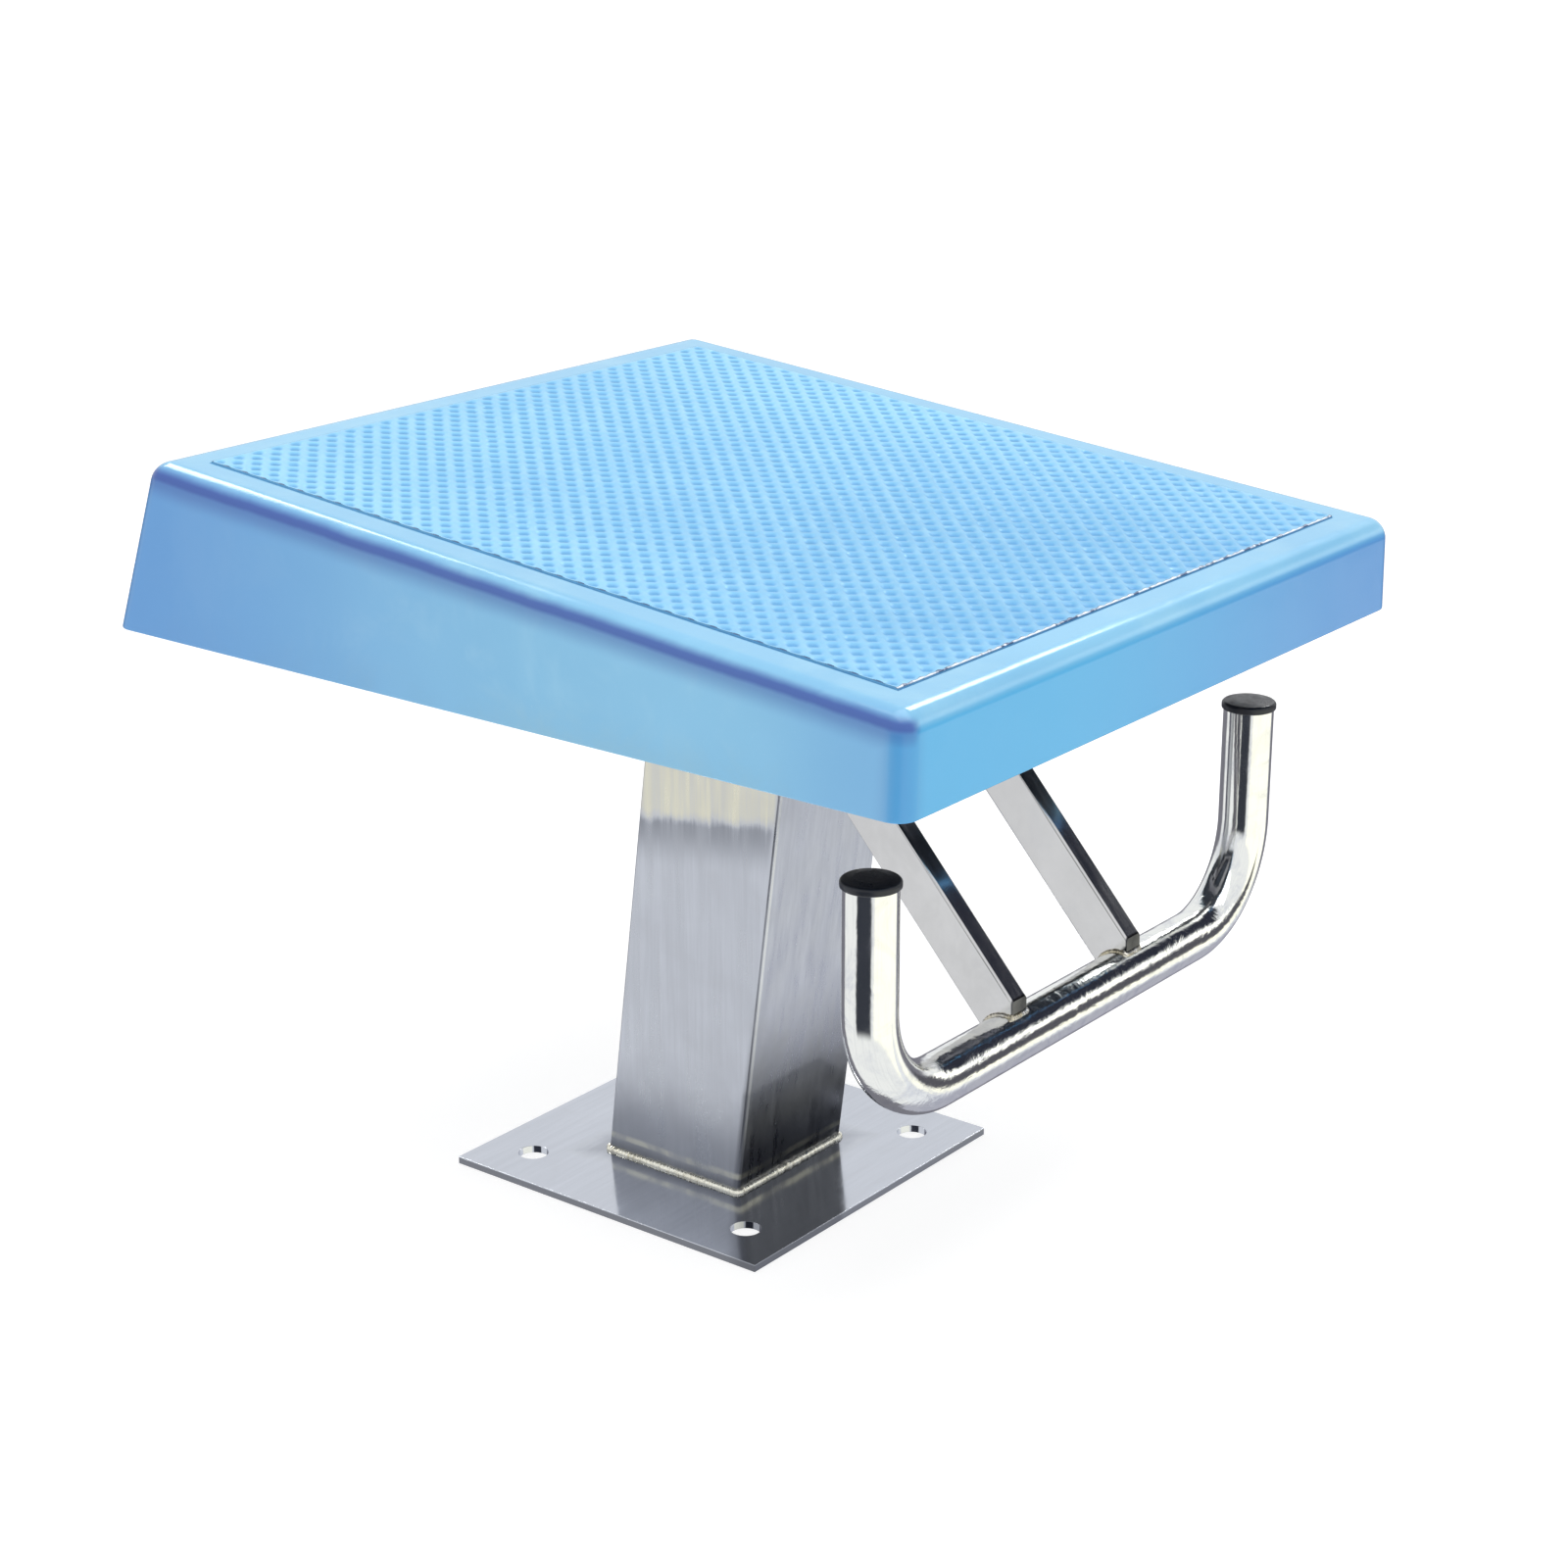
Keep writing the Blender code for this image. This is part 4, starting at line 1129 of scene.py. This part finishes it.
def level_ring(radius, height):
    """Points round Z, whose radius and height may change from point to point."""
    points = (radius * np.cos(HEX_TURNS), radius * np.sin(HEX_TURNS), height + 0 * HEX_TURNS)
    return np.stack(points, -1)


def hex_rings(flats, low, high, bottom_cut=False):
    """Rings of a hexagon from its bottom face to its chamfered top face."""
    radii = flats / 2 / np.cos((HEX_TURNS + math.pi / 6) % (math.pi / 3) - math.pi / 6)
    face = flats / 2 * 0.96
    drop = (radii - face) * math.tan(math.radians(30))
    if bottom_cut:
        rings = [level_ring(face, low), level_ring(radii, low + drop)]
    else:
        rings = [level_ring(radii * 0.985, low), level_ring(radii, low + 0.0001)]
    return rings + [level_ring(radii, high - drop), level_ring(face, high)]


def thread_rings(radius, start, end):
    """Rings down a threaded shank from height start to end."""
    rings = []
    for height in np.linspace(start, end, max(2, int(abs(end - start) / (THREAD_PITCH / 8)))):
        phase = (height / THREAD_PITCH + HEX_TURNS / (2 * math.pi)) % 1
        ease = min(1, abs(height - end) / THREAD_TAPER)
        depth = THREAD_DEPTH * np.abs(2 * phase - 1) + THREAD_TAPER / 2 * (1 - ease)
        rings.append(level_ring(radius - depth, height))
    return rings


def hex_size(name):
    """Across flats of a hexagon node from its corners."""
    low, high = deck_box(name)
    return max(high.x - low.x, high.y - low.y) * math.cos(math.pi / 6)


def build_fasteners():
    for number in range(1, 5):
        low, high = deck_box(f"head_bolt_{number}")
        washer = deck_box(f"head_washer_top_{number}")[1].z
        place = centred(low, high)
        build_bolt(f"head_bolt_{number}", place, washer + CLEARANCE, high.z, low.z)
        nut_low, nut_high = deck_box(f"head_nut_{number}")
        build_nut(f"head_nut_{number}", place, nut_low.z, nut_high.z)
        for level in ("top", "bottom"):
            build_washer(f"head_washer_{level}_{number}")
    flip = Matrix.Rotation(math.pi, 4, "X")
    for number in range(1, 7):
        low, high = deck_box(f"shell_bolt_{number}")
        washer = deck_box(f"shell_washer_{number}")[0].z
        place = centred(low, high) @ flip
        build_bolt(f"shell_bolt_{number}", place, CLEARANCE - washer, -low.z, -high.z)
        build_washer(f"shell_washer_{number}")
        material_on(f"shell_insert_{number}", BRASS)


def material_on(node, material):
    """Gives a carried-over CAD node its material."""
    slots = NODES[node].material_slots
    if not slots:
        NODES[node].data.materials.append(material)
    for slot in slots:
        slot.material = material


def add_fastener(node, mesh, sharp=28):
    add_piece(node + "_zinc", mesh, ZINC, "fastener_steel", node, sharp=sharp)


def build_bolt(node, place, bearing, top, end):
    """A hexagon-head bolt, head up, from its bearing face to its top, and its thread down to end."""
    head = hex_rings(hex_size(node), bearing, top)
    shank = thread_rings(BOLT_RADIUS, bearing + CLEARANCE, end)
    mesh = loft(node, list(reversed(head)) + shank)
    mesh.transform(place)
    add_fastener(node, mesh)


def build_nut(node, place, low, high):
    """A hexagon nut with both faces chamfered and its bore countersunk."""
    sink, bore = THREAD_DEPTH, NUT_BORE
    rings = hex_rings(hex_size(node), low, high, bottom_cut=True)
    rings += [level_ring(bore + sink, high), level_ring(bore, high - sink)]
    rings += [level_ring(bore, low + sink), level_ring(bore + sink, low)]
    mesh = loft(node, rings, closed=True)
    mesh.transform(place)
    add_fastener(node, mesh)


def build_washer(node):
    """A flat ring with its four edges broken."""
    low, high = deck_box(node)
    outer, inner, edge = (high.x - low.x) / 2, WASHER_BORE, WASHER_EDGE
    profile = [
        (outer - edge, high.z),
        (outer, high.z - edge),
        (outer, low.z + edge),
        (outer - edge, low.z),
        (inner + edge, low.z),
        (inner, low.z + edge),
        (inner, high.z - edge),
        (inner + edge, high.z),
    ]
    add_fastener(node, turned(node, profile, ROUND_SIDES, centred(low, high)), sharp=30)


# ---------------------------------------------------------------- welds


def end_loops(mesh, is_end):
    """Closed loops of points round the mesh's faces that pass the test, longest first."""
    bm = bmesh.new()
    bm.from_mesh(mesh)
    bm.normal_update()
    ends = {face for face in bm.faces if is_end(face)}
    rim = [edge for edge in bm.edges if sum(face in ends for face in edge.link_faces) == 1]
    loops = []
    while rim:
        first, here = rim.pop(0).verts
        points = [first.co.copy(), here.co.copy()]
        while True:
            onward = next((other for other in here.link_edges if other in rim), None)
            if onward is None:
                break
            rim.remove(onward)
            here = onward.other_vert(here)
            if here is not first:
                points.append(here.co.copy())
        loops.append(points)
    bm.free()

    def length(points):
        return sum((a - b).length for a, b in zip(points, points[1:] + points[:1]))

    return sorted(loops, key=length, reverse=True)


def resampled(points, step):
    """The closed loop as evenly spaced points."""
    ring = np.array([*points, points[0]], float)
    run = np.r_[0, np.linalg.norm(np.diff(ring, axis=0), axis=1).cumsum()]
    count = max(24, int(run[-1] / step))
    wanted = np.linspace(0, run[-1], count, endpoint=False)
    return np.stack([np.interp(wanted, run, ring[:, axis]) for axis in range(3)], -1)


def softened_loop(points, rounds=3):
    """The loop with its corners eased, as a bead runs round them."""
    for _ in range(rounds):
        points = (np.roll(points, 1, 0) + 2 * points + np.roll(points, -1, 0)) / 4
    return points


def build_bead(name, points, radius, material, slot, seed):
    """A weld bead along a closed loop, with scale-like ripples and an uneven hand."""
    draw = np.random.default_rng(seed)
    line = softened_loop(resampled(points, BEAD_STEP))
    count = len(line)
    ahead = np.roll(line, -1, 0) - np.roll(line, 1, 0)
    ahead /= np.linalg.norm(ahead, axis=1)[:, None]
    normal = line - line.mean(0)
    normal -= (normal * ahead).sum(1)[:, None] * ahead
    normal /= np.linalg.norm(normal, axis=1)[:, None]
    side = np.cross(ahead, normal)
    run = np.arange(count) * BEAD_STEP
    turn = 2 * math.pi * np.arange(count) / count
    waves = sum(
        draw.uniform(0.3, 1.0) * np.sin(cycles * turn + draw.uniform(0, 6.28))
        for cycles in draw.integers(3, 60, 9)
    )
    waves /= np.abs(waves).max()
    phase = (run / RIPPLE + 0.6 * waves) % 1
    size = radius * (1 + 0.13 * waves + 0.16 * (phase - 0.5) + 0.05 * draw.standard_normal(count))
    turns = np.linspace(0, 2 * math.pi, BEAD_SIDES, endpoint=False)[None, :, None]
    outward = np.cos(turns) * normal[:, None] + np.sin(turns) * side[:, None]
    mesh = loft(name, line[:, None] + size[:, None, None] * outward, closed=True)
    add_piece(name, mesh, material, slot, sharp=60)


def build_welds(post, struts):
    """Beads at the post's foot and head, the struts' ends and the ends of the cross members."""

    def on_ground(face):
        return face.normal.z < -0.99 and face.calc_center_median().z < POST_LOW.z + 0.001

    def on_bar(face):
        centre = face.calc_center_median()
        return abs(math.hypot(centre.y - GRIP_Y, centre.z - GRIP_BAR) - GRIP_RADIUS) < 0.0004

    def on_head(face):
        return face.normal.dot(DECK_NORMAL) > 0.995

    build_bead("weld_foot", end_loops(post, on_ground)[0], FOOT_BEAD, FOOT_WELD, "post_steel", 3)
    build_bead("weld_head", end_loops(post, on_head)[0], FRAME_BEAD, GREY_WELD, "post_steel", 5)
    for number, (side, mesh) in enumerate(struts.items()):
        for end, test, seed in (("bar", on_bar, 11), ("head", on_head, 21)):
            loop = end_loops(mesh, test)[0]
            name = f"weld_strut_{side}_{end}"
            build_bead(name, loop, STRUT_BEAD, GREY_WELD, "strut_steel", seed + number)
    seed = 31
    for row in ("front", "mid_front", "mid_rear", "rear"):
        mesh = NODES["frame_cross_" + row].data.copy()
        weld_points(mesh)
        for side, way in (("left", -1), ("right", 1)):

            def at_end(face):
                return face.normal.x * way > 0.99 and face.calc_center_median().x * way > 0.1

            loop = end_loops(mesh, at_end)[0]
            name = f"weld_cross_{row}_{side}"
            build_bead(name, loop, FRAME_BEAD, GREY_WELD, "frame_steel", seed)
            seed += 1
        bpy.data.meshes.remove(mesh)


def weld_points(mesh):
    """Joins the mesh's coincident points."""
    bm = bmesh.new()
    bm.from_mesh(mesh)
    bmesh.ops.remove_doubles(bm, verts=bm.verts, dist=MERGE_DISTANCE)
    bm.to_mesh(mesh)
    bm.free()


# ---------------------------------------------------------------- studio


def add_to_scene(name, data, place):
    made = bpy.data.objects.new(name, data)
    made.matrix_world = place
    bpy.context.scene.collection.objects.link(made)
    return made


def view_turn(azimuth, elevation):
    """Turn of a camera or light that looks in from this azimuth and elevation."""
    swing = Matrix.Rotation(math.radians(azimuth), 4, "Z")
    return swing @ Matrix.Rotation(math.radians(90 - elevation), 4, "X")


def build_camera():
    data = bpy.data.cameras.new("camera")
    data.lens = CAMERA_LENS
    data.sensor_width = CAMERA_SENSOR
    data.clip_end = CAMERA_REACH
    place = Matrix.Translation(CAMERA_PLACE) @ view_turn(CAMERA_AZIMUTH, CAMERA_ELEVATION)
    bpy.context.scene.camera = add_to_scene("camera", data, place)


def build_softbox():
    """A large square area light over the object."""
    data = bpy.data.lights.new("overhead", "AREA")
    data.shape = "RECTANGLE"
    data.size = data.size_y = OVERHEAD_SIZE
    data.energy = OVERHEAD_POWER
    reach = Matrix.Translation((0, 0, OVERHEAD_DISTANCE))
    add_to_scene("overhead", data, Matrix.Translation(LIGHT_TARGET) @ view_turn(*OVERHEAD_VIEW) @ reach)


def build_floor():
    """A wide pale floor, a little self-lit like a light table, so that shadows stay faint."""
    bm = bmesh.new()
    bmesh.ops.create_grid(bm, x_segments=1, y_segments=1, size=FLOOR_REACH)
    mesh = mesh_from(bm, "floor")
    mesh.transform(Matrix.Translation((0, 0, -0.0002)))
    glow = {"Emission_Color": (1, 1, 1), "Emission_Strength": FLOOR_GLOW}
    s = Surface("floor", Metallic=0.0, Roughness=0.9, **glow)
    s.put(s.shader.inputs["Base Color"], s.blend(s.noise(0.8, 2), *FLOOR_GREYS))
    mesh.materials.append(s.material)
    floor = add_to_scene("floor", mesh, Matrix())
    floor.visible_glossy = False


def build_world():
    """Even white light; polished metal sees the studio's panels and the dark gaps between them."""
    world = bpy.data.worlds.new("studio")
    bpy.context.scene.world = world
    world.use_nodes = True
    g = Graph(world.node_tree)
    x, y, z = g.split(g.field("TexCoord", "Generated"))
    azimuth = g.math("ARCTAN2", x, y * -1.0) * (180 / math.pi)
    elevation = g.math("ARCSINE", z) * (180 / math.pi)

    def window(angle, low, high, soft):
        half = soft / 2
        return g.between(angle, low - half, low + half, high - half, high + half)

    seen = STUDIO_WHITE
    for tone, azimuths, elevations, soft in STUDIO_PANELS:
        panel = window(azimuth, *azimuths, soft) * window(elevation, *elevations, soft)
        seen = g.blend(panel, seen, tone)
    mirrored = g.field("Background", 0, {"Color": seen})
    light = g.field("Background", 0, {"Color": SKY_COLOUR, "Strength": SKY_STRENGTH})
    backdrop = g.field("Background", 0, {"Color": (1, 1, 1), "Strength": 1.0})
    glossy = g.field("LightPath", "Is Glossy Ray")
    direct = g.field("LightPath", "Is Camera Ray")
    unseen = g.field("MixShader", 0, {0: glossy, 1: light, 2: mirrored})
    whole = g.field("MixShader", 0, {0: direct, 1: unseen, 2: backdrop})
    g.put(g.nodes["World Output"].inputs["Surface"], whole)
    g.nodes.remove(g.nodes["Background"])


def build_studio():
    bpy.context.scene.view_settings.view_transform = "Standard"
    build_camera()
    build_floor()
    build_world()
    build_softbox()


build_platform()
build_tread()
post_mesh = build_post()
build_base()
build_grip()
build_caps()
strut_meshes = build_struts()
build_frame()
build_fasteners()
build_welds(post_mesh, strut_meshes)
build_studio()
